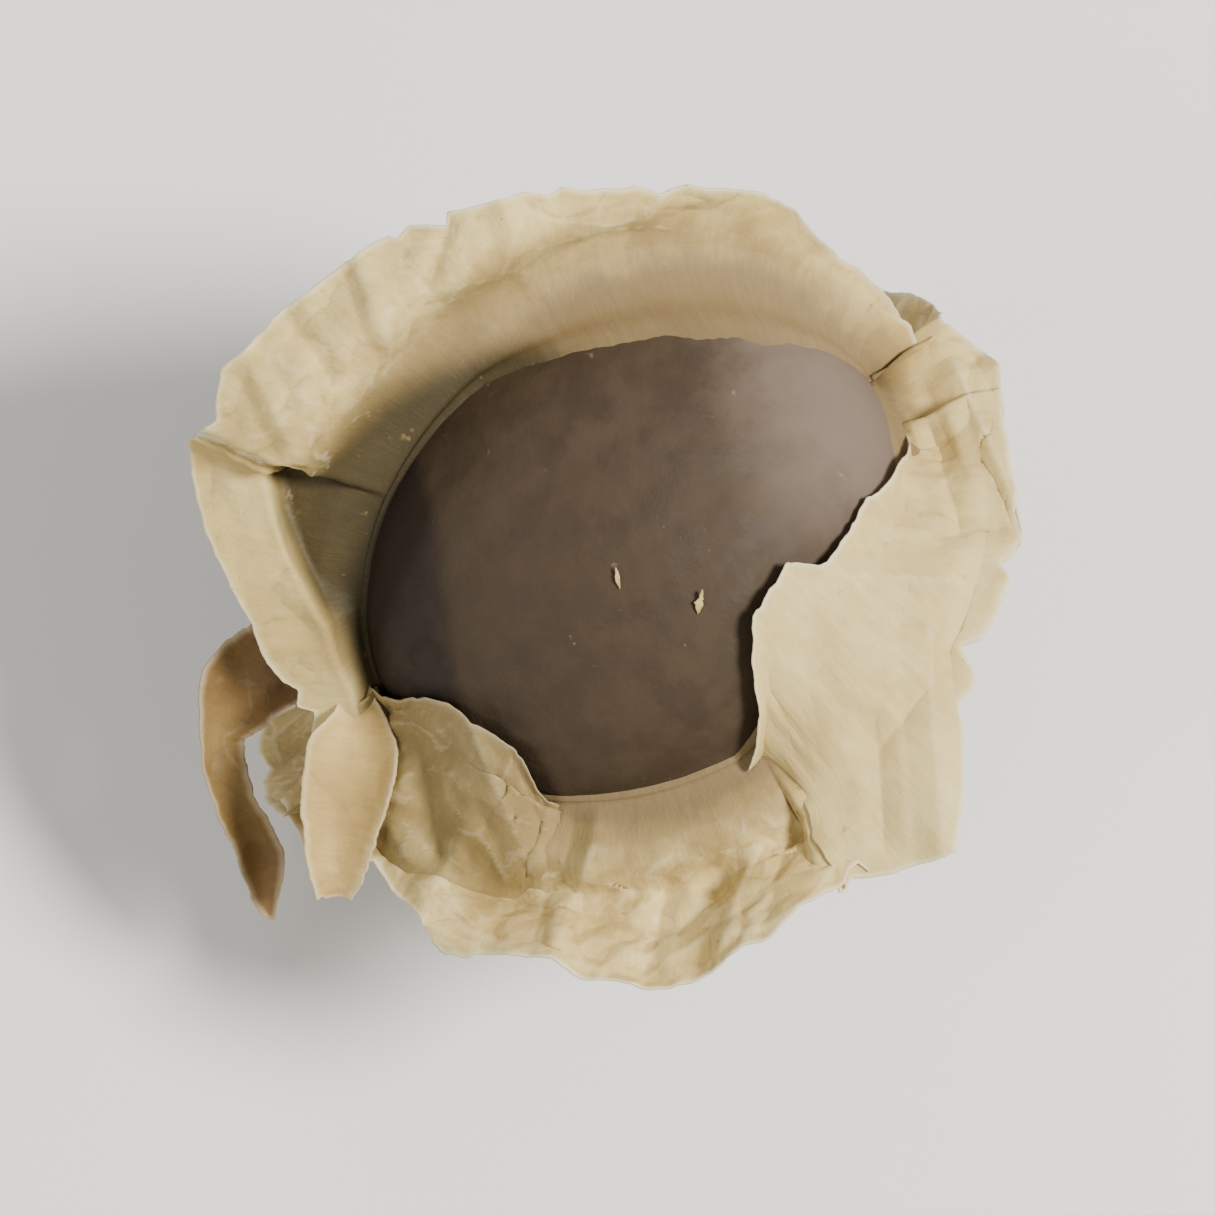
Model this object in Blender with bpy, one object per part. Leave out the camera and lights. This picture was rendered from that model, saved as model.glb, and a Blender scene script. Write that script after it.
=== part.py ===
"""A moringa seed: a brown, three-angled hull held in a coat of three papery wings.

The seed lies face up on its third wing, which is torn in two and folded flat under it.
Lengths are in metres and angles in degrees, with +Z up. The seed is shaped in its own
frame first: x out of the upper face, y across it and z along the axis towards the beak,
with the hull's middle at zero. It is then turned into its resting place.
"""

import math

import bmesh
import bpy
import numpy as np

MM = 0.001

# The hull
HULL_LENGTH = 12.9 * MM
HULL_RADIUS = 5.75 * MM
RIDGE_SHARE = 0.05        # how far the three ridges stand out, as a share of the radius
BEAK_FULLNESS = 0.05      # how much fuller the beak end is than the tail end
DENT_DEPTH = 0.10 * MM
HULL_RINGS = 28
HULL_SIDES = 42

# How the seed lies
FACE_TILT = 14.0          # the upper face leans this far towards the front
BEAK_TURN = 36.0          # the beak points this far round from +X
FLOOR_DROP = 8.2 * MM     # from the hull's middle down to the surface that it lies on

# The wings. A foot clasps the hull all round, and the lobes of the wing grow out of it.
SEAM_GAP = 0.30 * MM      # between the hull and everything round it
WING_THICKNESS = 0.62 * MM
FOOT_HALF_WIDTH = 1.00 * MM
FOOT_TOP_HALF_WIDTH = 0.38 * MM
FOOT_HEIGHT = 1.10 * MM
FOOT_ROWS = 4
ROOT_REACH = 0.50 * MM    # the lobes start this far out from the seam, inside the foot
DIP_RUN = 1.10 * MM
LEAN_RUN = 1.00 * MM
CURL_RUN = 1.10 * MM
BEND_STEPS = 24           # the bends are followed in this many steps from seam to edge
PLEAT_START = 0.90 * MM
PLEAT_RUN = 4.00 * MM
PRESS_ROUNDING = 0.60 * MM
PAST_AXIS = 3.0           # each wing runs this far past the axis at both ends
TEAR_HALF_ANGLE = 1.0
COLUMN_STEP = 4.5
LEAN_ROWS = (0.0, 0.4)    # shares of the lean's run that have a row of their own
CURL_ROWS = 4
LIP_WIDTH = 0.40 * MM     # the least width beyond the curl for it to keep its full place
NORMAL_TURN = 0.3         # the steps, in degrees and out from the seam, by which the
NORMAL_REACH = 0.02 * MM  # direction across a wing is measured

# Each outline and bend below is a list of (angle from the beak, value). The widths and the
# starts of the bends are in millimetres out from the seam, and the bends themselves, which
# follow one another as dip, lean and curl, in degrees towards growing azimuth. A tear is
# given by its angle from the beak, and runs in to the foot.
WINGS = {
    "left": {
        "azimuth": -60.0,
        "width": [(0, 1.3), (22, 1.5), (40, 2.4), (55, 2.8), (66, 2.9), (72, 3.3), (87, 3.9),
                  (103, 4.4), (117, 5.1), (123, 4.6), (127, 5.1), (132, 4.7), (142, 3.9),
                  (150, 3.3), (158, 2.9), (168, 2.4), (180, 2.1)],
        "dip": [(0, 0), (124.5, 0), (125.5, -36), (150, -20), (165, 0), (180, 0)],
        "lean": [(0, 0), (20, 24), (40, 34), (60, 34), (75, 32), (124.5, 30), (125.5, 86),
                 (142, 84), (150, 76), (165, 60), (180, 50)],
        "lean_start": [(0, 0.9), (124.5, 0.9), (125.5, 2.0), (132, 1.6), (150, 0.7), (180, 0.7)],
        "curl": [(0, 0), (22, -20), (40, -44), (60, -64), (124.5, -74), (125.5, -88),
                 (150, -92), (165, -90), (180, -74)],
        "curl_start": [(0, 2.0), (124.5, 2.1), (125.5, 3.0), (132, 2.6), (150, 1.6), (180, 1.5)],
        "pleat": 0.15 * MM,
        "pleats": 5.3,
        "tears": [125.0],
    },
    "right": {
        "azimuth": 60.0,
        "width": [(0, 2.0), (10, 2.6), (20, 2.2), (40, 2.3), (50, 2.2), (57, 2.1), (63, 2.4),
                  (70, 3.0), (75, 3.7), (80, 4.4), (86, 3.8), (91, 3.4), (95, 3.8),
                  (105, 4.2), (120, 4.4), (131, 4.1), (147, 3.9), (156, 3.0), (164, 2.6),
                  (172, 3.4), (180, 3.0)],
        "dip": [(0, 0), (180, 0)],
        "lean": [(0, 0), (16, 8), (40, 18), (92.5, 22), (93.5, 50), (140, 48), (165, 24),
                 (180, 0)],
        "lean_start": [(0, 0.9), (92.5, 0.9), (93.5, 0.6), (180, 0.6)],
        "curl": [(0, 0), (30, -12), (60, 12), (92.5, 6), (93.5, -66), (140, -64), (165, -34),
                 (180, 0)],
        "curl_start": [(0, 1.7), (180, 1.7)],
        "pleat": 0.30 * MM,
        "pleats": 6.2,
        "tears": [93.0],
    },
    "under": {
        "azimuth": 180.0,
        "width": [(0, 1.6), (30, 3.6), (50, 5.2), (62, 5.6), (76, 5.0), (80, 4.9), (92, 5.7),
                  (104, 5.4), (110, 4.8), (115, 5.0), (126, 5.6), (145, 4.8), (165, 3.8),
                  (180, 3.2)],
        "dip": [(0, 0), (180, 0)],
        "lean": [(0, 0), (25, 26), (60, 34), (77.5, 50), (78.5, -56), (112, -56), (113, 46),
                 (128, 32), (150, 28), (180, 0)],
        "lean_start": [(0, 0.9), (180, 0.9)],
        "curl": [(0, 0), (40, 12), (77.5, 8), (78.5, -6), (112, -6), (113, 8), (150, 14),
                 (180, 0)],
        "curl_start": [(0, 2.1), (180, 2.1)],
        "pleat": 0.20 * MM,
        "pleats": 4.7,
        "tears": [78.0, 112.5],
    },
}

# The flaps of torn skin over the upper face. Each torn edge is a list of (angle from the
# beak, azimuth). One grows from the right wing's ridge, the other from the tail end.
FLAPS = {
    "side_flap": {
        "edge": [(14, 57), (20, 46), (29, 36), (45, 29), (56, 29), (64, 28), (69, 22), (75, 25),
                 (80, 28), (85, 36), (90, 47), (96, 57)],
        "root_azimuth": 59.0,
    },
    "tail_flap": {
        "edge": [(134, 60), (135, 49), (134, 38), (133, 28), (137, 18), (142, 6), (148, -2),
                 (156, -10), (163, -24), (166, -42), (168, -58)],
        "root_angle": 173.0,
    },
}
FLAP_LIFT = 0.40 * MM
FLAP_COLUMNS = 25
FLAP_ROWS = 6

# The curled tips of torn skin beside the tail end, each a narrow strip along a bent line.
# A path is a list of places in millimetres from the hull's middle, in the world's
# directions. Half widths (mm) and rolls about the line (degrees) go by share of the path.
TIPS = {
    "inner_tip": {
        "path": [(-6.25, -3.55, -0.1), (-6.38, -4.80, -0.6), (-6.48, -5.85, -1.05),
                 (-6.60, -6.75, -1.5), (-6.66, -7.50, -2.0)],
        "half_width": [(0.0, 0.50), (0.5, 0.76), (0.75, 0.60), (1.0, 0.30)],
        "roll": [(0.0, 10.0), (0.5, -8.0), (1.0, 14.0)],
    },
    "outer_tip": {
        "path": [(-6.95, -1.95, 0.75), (-7.75, -2.45, -0.2), (-8.75, -2.95, -1.0),
                 (-9.33, -3.95, -1.7), (-9.06, -5.21, -2.3), (-8.46, -6.36, -3.0),
                 (-8.16, -7.50, -3.5)],
        "half_width": [(0.0, 0.75), (0.25, 0.82), (0.42, 0.50), (0.6, 0.46), (0.8, 0.52),
                       (1.0, 0.30)],
        "roll": [(0.0, 0.0), (0.3, 18.0), (0.5, 40.0), (0.75, 22.0), (1.0, -10.0)],
    },
}
TIP_ROWS = 19

WELD_DISTANCE = 0.002 * MM
SHARP_ANGLE = 40.0

HULL_COLOUR = (0.105, 0.062, 0.040)
HULL_ROUGHNESS = 0.55
WING_COLOUR = (0.66, 0.56, 0.38)
WING_ROUGHNESS = 0.75


def table(pairs, angle):
    """Read a list of (angle, value) pairs at an angle, or at an array of them."""
    angles, values = zip(*pairs)
    return np.interp(angle, angles, values)


def smooth_step(value):
    """Rise smoothly from 0 to 1 while the value goes from 0 to 1."""
    value = np.clip(value, 0.0, 1.0)
    return value * value * (3.0 - 2.0 * value)


def seed_axes():
    """Return the seed's own x, y and z axes as world vectors."""
    tilt = math.radians(FACE_TILT)
    turn = math.radians(BEAK_TURN)
    face = np.array((0.0, -math.sin(tilt), math.cos(tilt)))
    up_slope = np.array((0.0, math.cos(tilt), math.sin(tilt)))
    right = np.array((1.0, 0.0, 0.0))
    beak = math.cos(turn) * right + math.sin(turn) * up_slope
    across = math.sin(turn) * right - math.cos(turn) * up_slope
    return face, across, beak


def to_world(points):
    """Turn points from the seed's frame into the world."""
    return points @ np.array(seed_axes())


def hull_surface(angle, azimuth, lift):
    """Return points a given lift above the hull, by angle from the beak and azimuth."""
    theta = np.radians(angle)
    phi = np.radians(azimuth)
    ridged = HULL_RADIUS * (1.0 - RIDGE_SHARE * np.cos(3.0 * phi))
    fullness = 1.0 + BEAK_FULLNESS * np.cos(theta)
    radius = (ridged * fullness + lift) * np.sin(theta)
    height = (0.5 * HULL_LENGTH + lift) * np.cos(theta)
    return np.stack((radius * np.cos(phi), radius * np.sin(phi), height), axis=-1)


def hull_dents(angle, azimuth):
    """Return how deep the shallow dents of the skin are, in a slow uneven pattern."""
    theta = np.radians(angle)
    phi = np.radians(azimuth)
    wave = np.sin(3.1 * theta + 1.3 * np.sin(2.0 * phi + 0.6))
    wave = wave + 0.8 * np.sin(2.0 * phi - 2.3 * theta + 1.1)
    wave = wave + 0.5 * np.sin(5.0 * phi + 4.2 * theta)
    return DENT_DEPTH * (0.5 + 0.22 * wave) * np.sin(theta) ** 2


def press_flat(points, half_thickness):
    """Press what would reach below the floor flat onto it, with a rounded bend."""
    lowest = half_thickness - FLOOR_DROP
    height = points[..., 2] - lowest
    bend = (height + PRESS_ROUNDING) ** 2 / (4.0 * PRESS_ROUNDING)
    pressed = np.where(height > PRESS_ROUNDING, height, bend)
    pressed = np.where(height < -PRESS_ROUNDING, 0.0, pressed)
    result = points.copy()
    result[..., 2] = pressed + lowest
    return result


def wing_surface(wing, angle, reach):
    """Return the middle surface of a wing, by angle from the beak and reach from the seam."""
    theta = np.radians(angle)
    phi = math.radians(wing["azimuth"])
    outward = np.array((math.cos(phi), math.sin(phi), 0.0))
    sideways = np.array((-math.sin(phi), math.cos(phi), 0.0))
    beak = np.array((0.0, 0.0, 1.0))
    fan = np.sin(theta)[..., None] * outward + np.cos(theta)[..., None] * beak
    dip, lean, curl = (np.radians(table(wing[key], angle)) for key in ("dip", "lean", "curl"))
    lean_start = table(wing["lean_start"], angle) * MM
    curl_start = table(wing["curl_start"], angle) * MM
    points = hull_surface(angle, wing["azimuth"], SEAM_GAP)
    for step in range(BEND_STEPS):
        along = reach * (step + 0.5) / BEND_STEPS
        bend = dip * smooth_step(along / DIP_RUN)
        bend = bend + lean * smooth_step((along - lean_start) / LEAN_RUN)
        bend = bend + curl * smooth_step((along - curl_start) / CURL_RUN)
        length = (reach / BEND_STEPS)[..., None]
        points = points + length * np.cos(bend)[..., None] * fan
        points = points + length * np.sin(bend)[..., None] * sideways
    fade = np.sin(theta) ** 2 * smooth_step((reach - PLEAT_START) / PLEAT_RUN)
    wave = np.sin(theta * 2.0 * wing["pleats"] + math.radians(wing["azimuth"]))
    points = points + (wing["pleat"] * fade * wave)[..., None] * sideways
    return press_flat(to_world(points), 0.5 * WING_THICKNESS)


def even_columns(first, last):
    """Return angles in even steps from the first to the last."""
    return np.linspace(first, last, max(2, round((last - first) / COLUMN_STEP) + 1))


def lobe_columns(wing):
    """Return the angles of the columns of each lobe that the tears leave between them."""
    starts = [-PAST_AXIS] + [tear + TEAR_HALF_ANGLE for tear in wing["tears"]]
    ends = [tear - TEAR_HALF_ANGLE for tear in wing["tears"]] + [180.0 + PAST_AXIS]
    return [even_columns(start, end) for start, end in zip(starts, ends)]


def lobe_reaches(wing, angles):
    """Return the reach of every row at every column of a lobe, close together in the curl."""
    width, lean_start, curl_start = (table(wing[key], angles)[:, None] * MM
                                     for key in ("width", "lean_start", "curl_start"))
    root_row = np.full_like(width, ROOT_REACH)
    curl_rows = curl_start + CURL_RUN * np.linspace(0.0, 1.0, CURL_ROWS)[None, :]
    lean_rows = lean_start + LEAN_RUN * np.array(LEAN_ROWS)[None, :]
    valley_row = 0.5 * (root_row + lean_start)
    knots = np.concatenate((valley_row, lean_rows, curl_rows), axis=1)
    full_width = curl_rows[:, -1:] + LIP_WIDTH
    share = np.minimum(1.0, (width - ROOT_REACH) / (full_width - ROOT_REACH))
    bend_rows = ROOT_REACH + (knots - ROOT_REACH) * share
    lip_row = 0.5 * (bend_rows[:, -1:] + width)
    return np.concatenate((root_row, bend_rows, lip_row, width), axis=1)


def unit(vectors):
    """Scale vectors to length one."""
    return vectors / np.linalg.norm(vectors, axis=-1, keepdims=True)


def wing_faces(wing, angles, reach, half):
    """Return the two faces of a piece of a wing as grids of points."""
    angle = np.repeat(angles[:, None], reach.shape[1], axis=1)
    middle = wing_surface(wing, angle, reach)
    along = wing_surface(wing, angle + NORMAL_TURN, reach)
    along = along - wing_surface(wing, angle - NORMAL_TURN, reach)
    outward = wing_surface(wing, angle, reach + NORMAL_REACH) - middle
    normal = unit(np.cross(unit(outward), unit(along)))
    return middle + half * normal, middle - half * normal


def foot_grids(wing):
    """Return the two faces of the foot, the thick band where a wing clasps the hull."""
    angles = even_columns(-PAST_AXIS, 180.0 + PAST_AXIS)
    rows = np.linspace(0.0, 1.0, FOOT_ROWS)
    reach = np.repeat(rows[None, :] * FOOT_HEIGHT, len(angles), axis=0)
    half = FOOT_HALF_WIDTH + (FOOT_TOP_HALF_WIDTH - FOOT_HALF_WIDTH) * smooth_step(rows)
    return wing_faces(wing, angles, reach, half[None, :, None])


def lobe_grids(wing, angles):
    """Return the two faces of one lobe of a wing, rooted inside the foot."""
    return wing_faces(wing, angles, lobe_reaches(wing, angles), 0.5 * WING_THICKNESS)


def flap_grids(flap):
    """Return the two faces of a torn flap that lies over the upper face of the hull."""
    angles, azimuths = zip(*flap["edge"])
    corners = np.arange(len(angles))
    columns = np.linspace(0.0, corners[-1], FLAP_COLUMNS)
    edge_angle = np.interp(columns, corners, angles)[:, None]
    edge_azimuth = np.interp(columns, corners, azimuths)[:, None]
    root_angle = flap.get("root_angle", edge_angle)
    root_azimuth = flap.get("root_azimuth", edge_azimuth)
    share = np.linspace(0.0, 1.0, FLAP_ROWS)[None, :]
    angle = root_angle + (edge_angle - root_angle) * share
    azimuth = root_azimuth + (edge_azimuth - root_azimuth) * share
    lower = hull_surface(angle, azimuth, FLAP_LIFT)
    upper = hull_surface(angle, azimuth, FLAP_LIFT + WING_THICKNESS)
    return to_world(upper), to_world(lower)


def smooth_line(points, share):
    """Return places along a bent line that passes through the points without corners."""
    points = np.array(points)
    before = 2.0 * points[:1] - points[1:2]
    after = 2.0 * points[-1:] - points[-2:-1]
    padded = np.concatenate((before, points, after))
    place = share * (len(points) - 1)
    low = np.minimum(place.astype(int), len(points) - 2)
    t = (place - low)[:, None]
    a, b, c, d = (padded[low + shift] for shift in range(4))
    line = 2.0 * b + (c - a) * t + (2.0 * a - 5.0 * b + 4.0 * c - d) * t ** 2
    return 0.5 * (line + (3.0 * b - a - 3.0 * c + d) * t ** 3)


def tip_grids(tip):
    """Return the two faces of a curled tip."""
    share = np.linspace(0.0, 1.0, TIP_ROWS)
    line = smooth_line(tip["path"], share) * MM
    along = unit(np.gradient(line, axis=0))
    flat = unit(np.cross(along, (0.0, 0.0, 1.0)))
    roll = np.radians(table(tip["roll"], share))[:, None]
    sideways = np.cos(roll) * flat + np.sin(roll) * np.cross(flat, along)
    rise = 0.5 * WING_THICKNESS * np.cross(sideways, along)[:, None]
    place = np.array((-1.0, 0.0, 1.0))[None, :, None]
    half_width = table(tip["half_width"], share)[:, None, None] * MM
    middle = line[:, None] + place * half_width * sideways[:, None]
    return middle + rise, middle - rise


def new_object(name, vertices, faces):
    """Make a mesh object, and turn its faces outward."""
    mesh = bpy.data.meshes.new(name)
    mesh.from_pydata([tuple(vertex) for vertex in vertices], [], faces)
    work = bmesh.new()
    work.from_mesh(mesh)
    bmesh.ops.recalc_face_normals(work, faces=work.faces)
    work.to_mesh(mesh)
    work.free()
    item = bpy.data.objects.new(name, mesh)
    bpy.context.scene.collection.objects.link(item)
    return item


def sheet_object(name, upper, lower):
    """Close two like grids into one thin solid, both faces cut along the same diagonals."""
    columns, rows = upper.shape[:2]
    vertices = np.concatenate((upper.reshape(-1, 3), lower.reshape(-1, 3)))
    offset = columns * rows
    faces = []
    for column in range(columns - 1):
        for row in range(rows - 1):
            a = column * rows + row
            b = a + 1
            c = a + rows
            d = c + 1
            faces += [(a, c, b), (b, c, d)]
            faces += [(a + offset, b + offset, c + offset), (b + offset, d + offset, c + offset)]
    ring = list(range(rows))
    ring += [column * rows + rows - 1 for column in range(1, columns)]
    ring += [(columns - 1) * rows + row for row in range(rows - 2, -1, -1)]
    ring += [column * rows for column in range(columns - 2, 0, -1)]
    for first, second in zip(ring, ring[1:] + ring[:1]):
        faces += [(first, second, first + offset), (second, second + offset, first + offset)]
    return new_object(name, vertices, faces)


def make_hull():
    """Make the hull as one closed body of rings between its two ends."""
    angles = np.linspace(0.0, 180.0, HULL_RINGS + 1)[1:-1]
    azimuths = np.arange(HULL_SIDES) * 360.0 / HULL_SIDES
    angle, azimuth = np.meshgrid(angles, azimuths, indexing="ij")
    skin = hull_surface(angle, azimuth, -hull_dents(angle, azimuth))
    ends = hull_surface(np.array((0.0, 180.0)), np.zeros(2), 0.0)
    vertices = to_world(np.concatenate((skin.reshape(-1, 3), ends)))
    faces = []
    rings = len(angles)
    beak = rings * HULL_SIDES
    tail = beak + 1
    for side in range(HULL_SIDES):
        after = (side + 1) % HULL_SIDES
        for ring in range(rings - 1):
            low = ring * HULL_SIDES
            high = low + HULL_SIDES
            faces.append((low + side, high + side, high + after, low + after))
        faces.append((side, after, beak))
        faces.append(((rings - 1) * HULL_SIDES + after, (rings - 1) * HULL_SIDES + side, tail))
    hull = new_object("hull", vertices, faces)
    hull.data.shade_smooth()
    return hull


def join_pieces(name, pieces):
    """Join overlapping pieces into one body by a Boolean union, and remove the pieces."""
    body = pieces[0]
    group = bpy.data.collections.new(name + "_pieces")
    for piece in pieces[1:]:
        bpy.context.scene.collection.objects.unlink(piece)
        group.objects.link(piece)
    union = body.modifiers.new("union", "BOOLEAN")
    union.operation = "UNION"
    union.operand_type = "COLLECTION"
    union.collection = group
    union.solver = "EXACT"
    graph = bpy.context.evaluated_depsgraph_get()
    mesh = bpy.data.meshes.new_from_object(body.evaluated_get(graph))
    body.modifiers.clear()
    body.data = mesh
    mesh.name = name
    body.name = name
    for piece in pieces[1:]:
        bpy.data.objects.remove(piece)
    bpy.data.collections.remove(group)
    return body


def make_wings():
    """Make the three wings, the flaps and the tips, and join them into one papery coat."""
    pieces = []
    for name, wing in WINGS.items():
        pieces.append(sheet_object(name + "_foot", *foot_grids(wing)))
        for angles in lobe_columns(wing):
            pieces.append(sheet_object(name + "_lobe", *lobe_grids(wing, angles)))
    for name, flap in FLAPS.items():
        pieces.append(sheet_object(name, *flap_grids(flap)))
    for name, tip in TIPS.items():
        pieces.append(sheet_object(name, *tip_grids(tip)))
    wings = join_pieces("wings", pieces)
    work = bmesh.new()
    work.from_mesh(wings.data)
    bmesh.ops.remove_doubles(work, verts=work.verts, dist=WELD_DISTANCE)
    bmesh.ops.triangulate(work, faces=work.faces)
    work.to_mesh(wings.data)
    work.free()
    wings.data.shade_smooth()
    wings.data.set_sharp_from_angle(angle=math.radians(SHARP_ANGLE))
    return wings


def add_material(item, colour, roughness):
    """Give an object its own material."""
    material = bpy.data.materials.new(item.name)
    material.use_nodes = True
    shader = material.node_tree.nodes["Principled BSDF"]
    shader.inputs["Base Color"].default_value = (*colour, 1.0)
    shader.inputs["Roughness"].default_value = roughness
    shader.inputs["Metallic"].default_value = 0.0
    item.data.materials.clear()
    item.data.materials.append(material)


def set_down(items):
    """Move everything so that the middle of its box's bottom is at the origin."""
    corners = np.array([vertex.co[:] for item in items for vertex in item.data.vertices])
    low = corners.min(axis=0)
    high = corners.max(axis=0)
    shift = np.array((-(low[0] + high[0]) / 2.0, -(low[1] + high[1]) / 2.0, -low[2]))
    for item in items:
        for vertex in item.data.vertices:
            vertex.co = [value + move for value, move in zip(vertex.co, shift)]


def build():
    """Clear the scene and model the seed."""
    for item in list(bpy.data.objects):
        bpy.data.objects.remove(item)
    hull = make_hull()
    wings = make_wings()
    set_down([hull, wings])
    add_material(hull, HULL_COLOUR, HULL_ROUGHNESS)
    add_material(wings, WING_COLOUR, WING_ROUGHNESS)


build()
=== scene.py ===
import math

import bpy
import numpy as np
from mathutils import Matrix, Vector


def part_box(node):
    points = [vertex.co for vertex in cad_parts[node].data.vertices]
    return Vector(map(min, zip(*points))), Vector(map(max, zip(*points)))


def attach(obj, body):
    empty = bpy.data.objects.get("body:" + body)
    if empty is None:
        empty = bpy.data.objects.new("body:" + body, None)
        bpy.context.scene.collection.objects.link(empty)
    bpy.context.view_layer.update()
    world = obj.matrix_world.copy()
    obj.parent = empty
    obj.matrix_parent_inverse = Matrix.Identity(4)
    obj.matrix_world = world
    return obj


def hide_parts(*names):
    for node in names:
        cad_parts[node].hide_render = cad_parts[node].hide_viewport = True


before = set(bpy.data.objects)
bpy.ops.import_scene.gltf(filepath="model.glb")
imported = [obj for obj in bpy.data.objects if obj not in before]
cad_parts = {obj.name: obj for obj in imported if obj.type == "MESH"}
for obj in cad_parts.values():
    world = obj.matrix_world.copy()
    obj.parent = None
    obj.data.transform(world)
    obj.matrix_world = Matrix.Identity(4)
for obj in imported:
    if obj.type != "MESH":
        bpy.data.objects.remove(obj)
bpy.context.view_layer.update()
mm = 0.001

# How the seed lies, and the hull's form. All angles here are in degrees.
seedPose = {
    "faceTilt": 14.0,          # the upper face leans this far to the front
    "beakTurn": 36.0,          # the beak points this far round from +X
}
hullForm = {
    "length": 12.9 * mm,
    "radius": 5.75 * mm,
    "ridgeShare": 0.05,
    "beakFullness": 0.05,
    "dentDepth": 0.10 * mm,
    "rings": 230,
    "sides": 300,
    "wrinkle": 0.045 * mm,     # long shallow wrinkles from end to end
    "pebble": 0.016 * mm,      # fine unevenness of the skin
    "pebbleSize": 0.34 * mm,
    # painted shade covers the left side below this slanting line: azimuths by angle
    "paintedShadeLine": [(80, -130), (95, -105), (105, -84), (112, -66), (116, -51), (120, -39),
                    (128, -27), (136, -12), (140, 1), (150, 18), (180, 60)],
}


def table(pairs, angle):
    # a value that changes along a piece, from (place, value) pairs, or one that stays the same
    if isinstance(pairs, (int, float)):
        return np.full(np.shape(angle), float(pairs))
    angles, values = zip(*pairs)
    return np.interp(angle, angles, values)


def smoothStep(value):
    value = np.clip(value, 0.0, 1.0)
    return value * value * (3.0 - 2.0 * value)


def unit(vectors):
    length = np.linalg.norm(vectors, axis=-1, keepdims=True)
    return vectors / np.maximum(length, 1e-12)


def seedAxes():
    tilt = math.radians(seedPose["faceTilt"])
    turn = math.radians(seedPose["beakTurn"])
    face = np.array((0.0, -math.sin(tilt), math.cos(tilt)))
    upSlope = np.array((0.0, math.cos(tilt), math.sin(tilt)))
    right = np.array((1.0, 0.0, 0.0))
    beak = math.cos(turn) * right + math.sin(turn) * upSlope
    across = math.sin(turn) * right - math.cos(turn) * upSlope
    return np.array((face, across, beak))


def hullRadius(theta, phi):
    ridged = hullForm["radius"] * (1.0 - hullForm["ridgeShare"] * np.cos(3.0 * phi))
    return ridged * (1.0 + hullForm["beakFullness"] * np.cos(theta))


def hullPoint(angle, azimuth, lift):
    # a point above the hull, by angle from the beak and azimuth from the upper face
    theta = np.radians(angle)
    phi = np.radians(azimuth)
    radius = (hullRadius(theta, phi) + lift) * np.sin(theta)
    height = (0.5 * hullForm["length"] + lift) * np.cos(theta)
    return np.stack(np.broadcast_arrays(radius * np.cos(phi), radius * np.sin(phi), height), -1)


def hullDents(angle, azimuth):
    theta = np.radians(angle)
    phi = np.radians(azimuth)
    wave = np.sin(3.1 * theta + 1.3 * np.sin(2.0 * phi + 0.6))
    wave = wave + 0.8 * np.sin(2.0 * phi - 2.3 * theta + 1.1)
    wave = wave + 0.5 * np.sin(5.0 * phi + 4.2 * theta)
    return hullForm["dentDepth"] * (0.5 + 0.22 * wave) * np.sin(theta) ** 2


# The hull of the frame tells where the seed's middle is
def findMiddle():
    angle, azimuth = np.meshgrid(np.linspace(0.0, 180.0, 91), np.arange(0.0, 360.0, 3.0))
    skin = hullPoint(angle, azimuth, -hullDents(angle, azimuth)) @ seedAxes()
    skin = skin.reshape(-1, 3)
    low, high = (np.array(corner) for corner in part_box("hull"))
    return 0.5 * (low + high) - 0.5 * (skin.min(axis=0) + skin.max(axis=0))


seedMiddle = findMiddle()
faceTilt = math.radians(seedPose["faceTilt"])
faceAxes = np.array(((1.0, 0.0), (0.0, math.cos(faceTilt)), (0.0, math.sin(faceTilt))))


def toWorld(points):
    return points @ seedAxes() + seedMiddle


def onSeed(angle, azimuth, lift=0.0):
    return toWorld(hullPoint(angle, azimuth, lift))


def runAlong(line):
    # how far each point of a line lies from its start
    steps = np.linalg.norm(np.diff(line, axis=0), axis=1)
    return np.concatenate(([0.0], np.cumsum(steps)))


def bentBetween(start, control, end, t):
    # curves from start to end that head for control, t from 0 to 1 along them
    bent = (1.0 - t) ** 2 * start[:, None] + 2.0 * t * (1.0 - t) * control[:, None]
    return bent + t ** 2 * end[:, None]


def keepOff(points, lift):
    # points that come too near the hull are pushed out to this height above it
    local = (points - seedMiddle) @ seedAxes().T
    across = np.hypot(local[..., 0], local[..., 1])
    azimuth = np.arctan2(local[..., 1], local[..., 0])
    theta = np.arctan2(across / hullForm["radius"], local[..., 2] / (0.5 * hullForm["length"]))
    height = 0.5 * hullForm["length"] + lift
    size = np.hypot(across / (hullRadius(theta, azimuth) + lift), local[..., 2] / height)
    return toWorld(local / np.minimum(size, 1.0)[..., None])


# Repeatable noise on grids of numbers
def hashNoise(column, row, seed):
    column = column.astype(np.int64)
    row = row.astype(np.int64)
    mixed = (column * 374761393 + row * 668265263 + seed * 974634777) & 0xFFFFFFFF
    mixed = ((mixed ^ (mixed >> 13)) * 1274126177) & 0xFFFFFFFF
    return ((mixed ^ (mixed >> 16)) & 0xFFFF) / 32767.5 - 1.0


def softNoise(x, y, seed):
    column = np.floor(x)
    row = np.floor(y)
    a = smoothStep(x - column)
    b = smoothStep(y - row)
    low = hashNoise(column, row, seed) * (1.0 - a) + hashNoise(column + 1, row, seed) * a
    high = hashNoise(column, row + 1, seed) * (1.0 - a)
    high = high + hashNoise(column + 1, row + 1, seed) * a
    return low * (1.0 - b) + high * b


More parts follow.
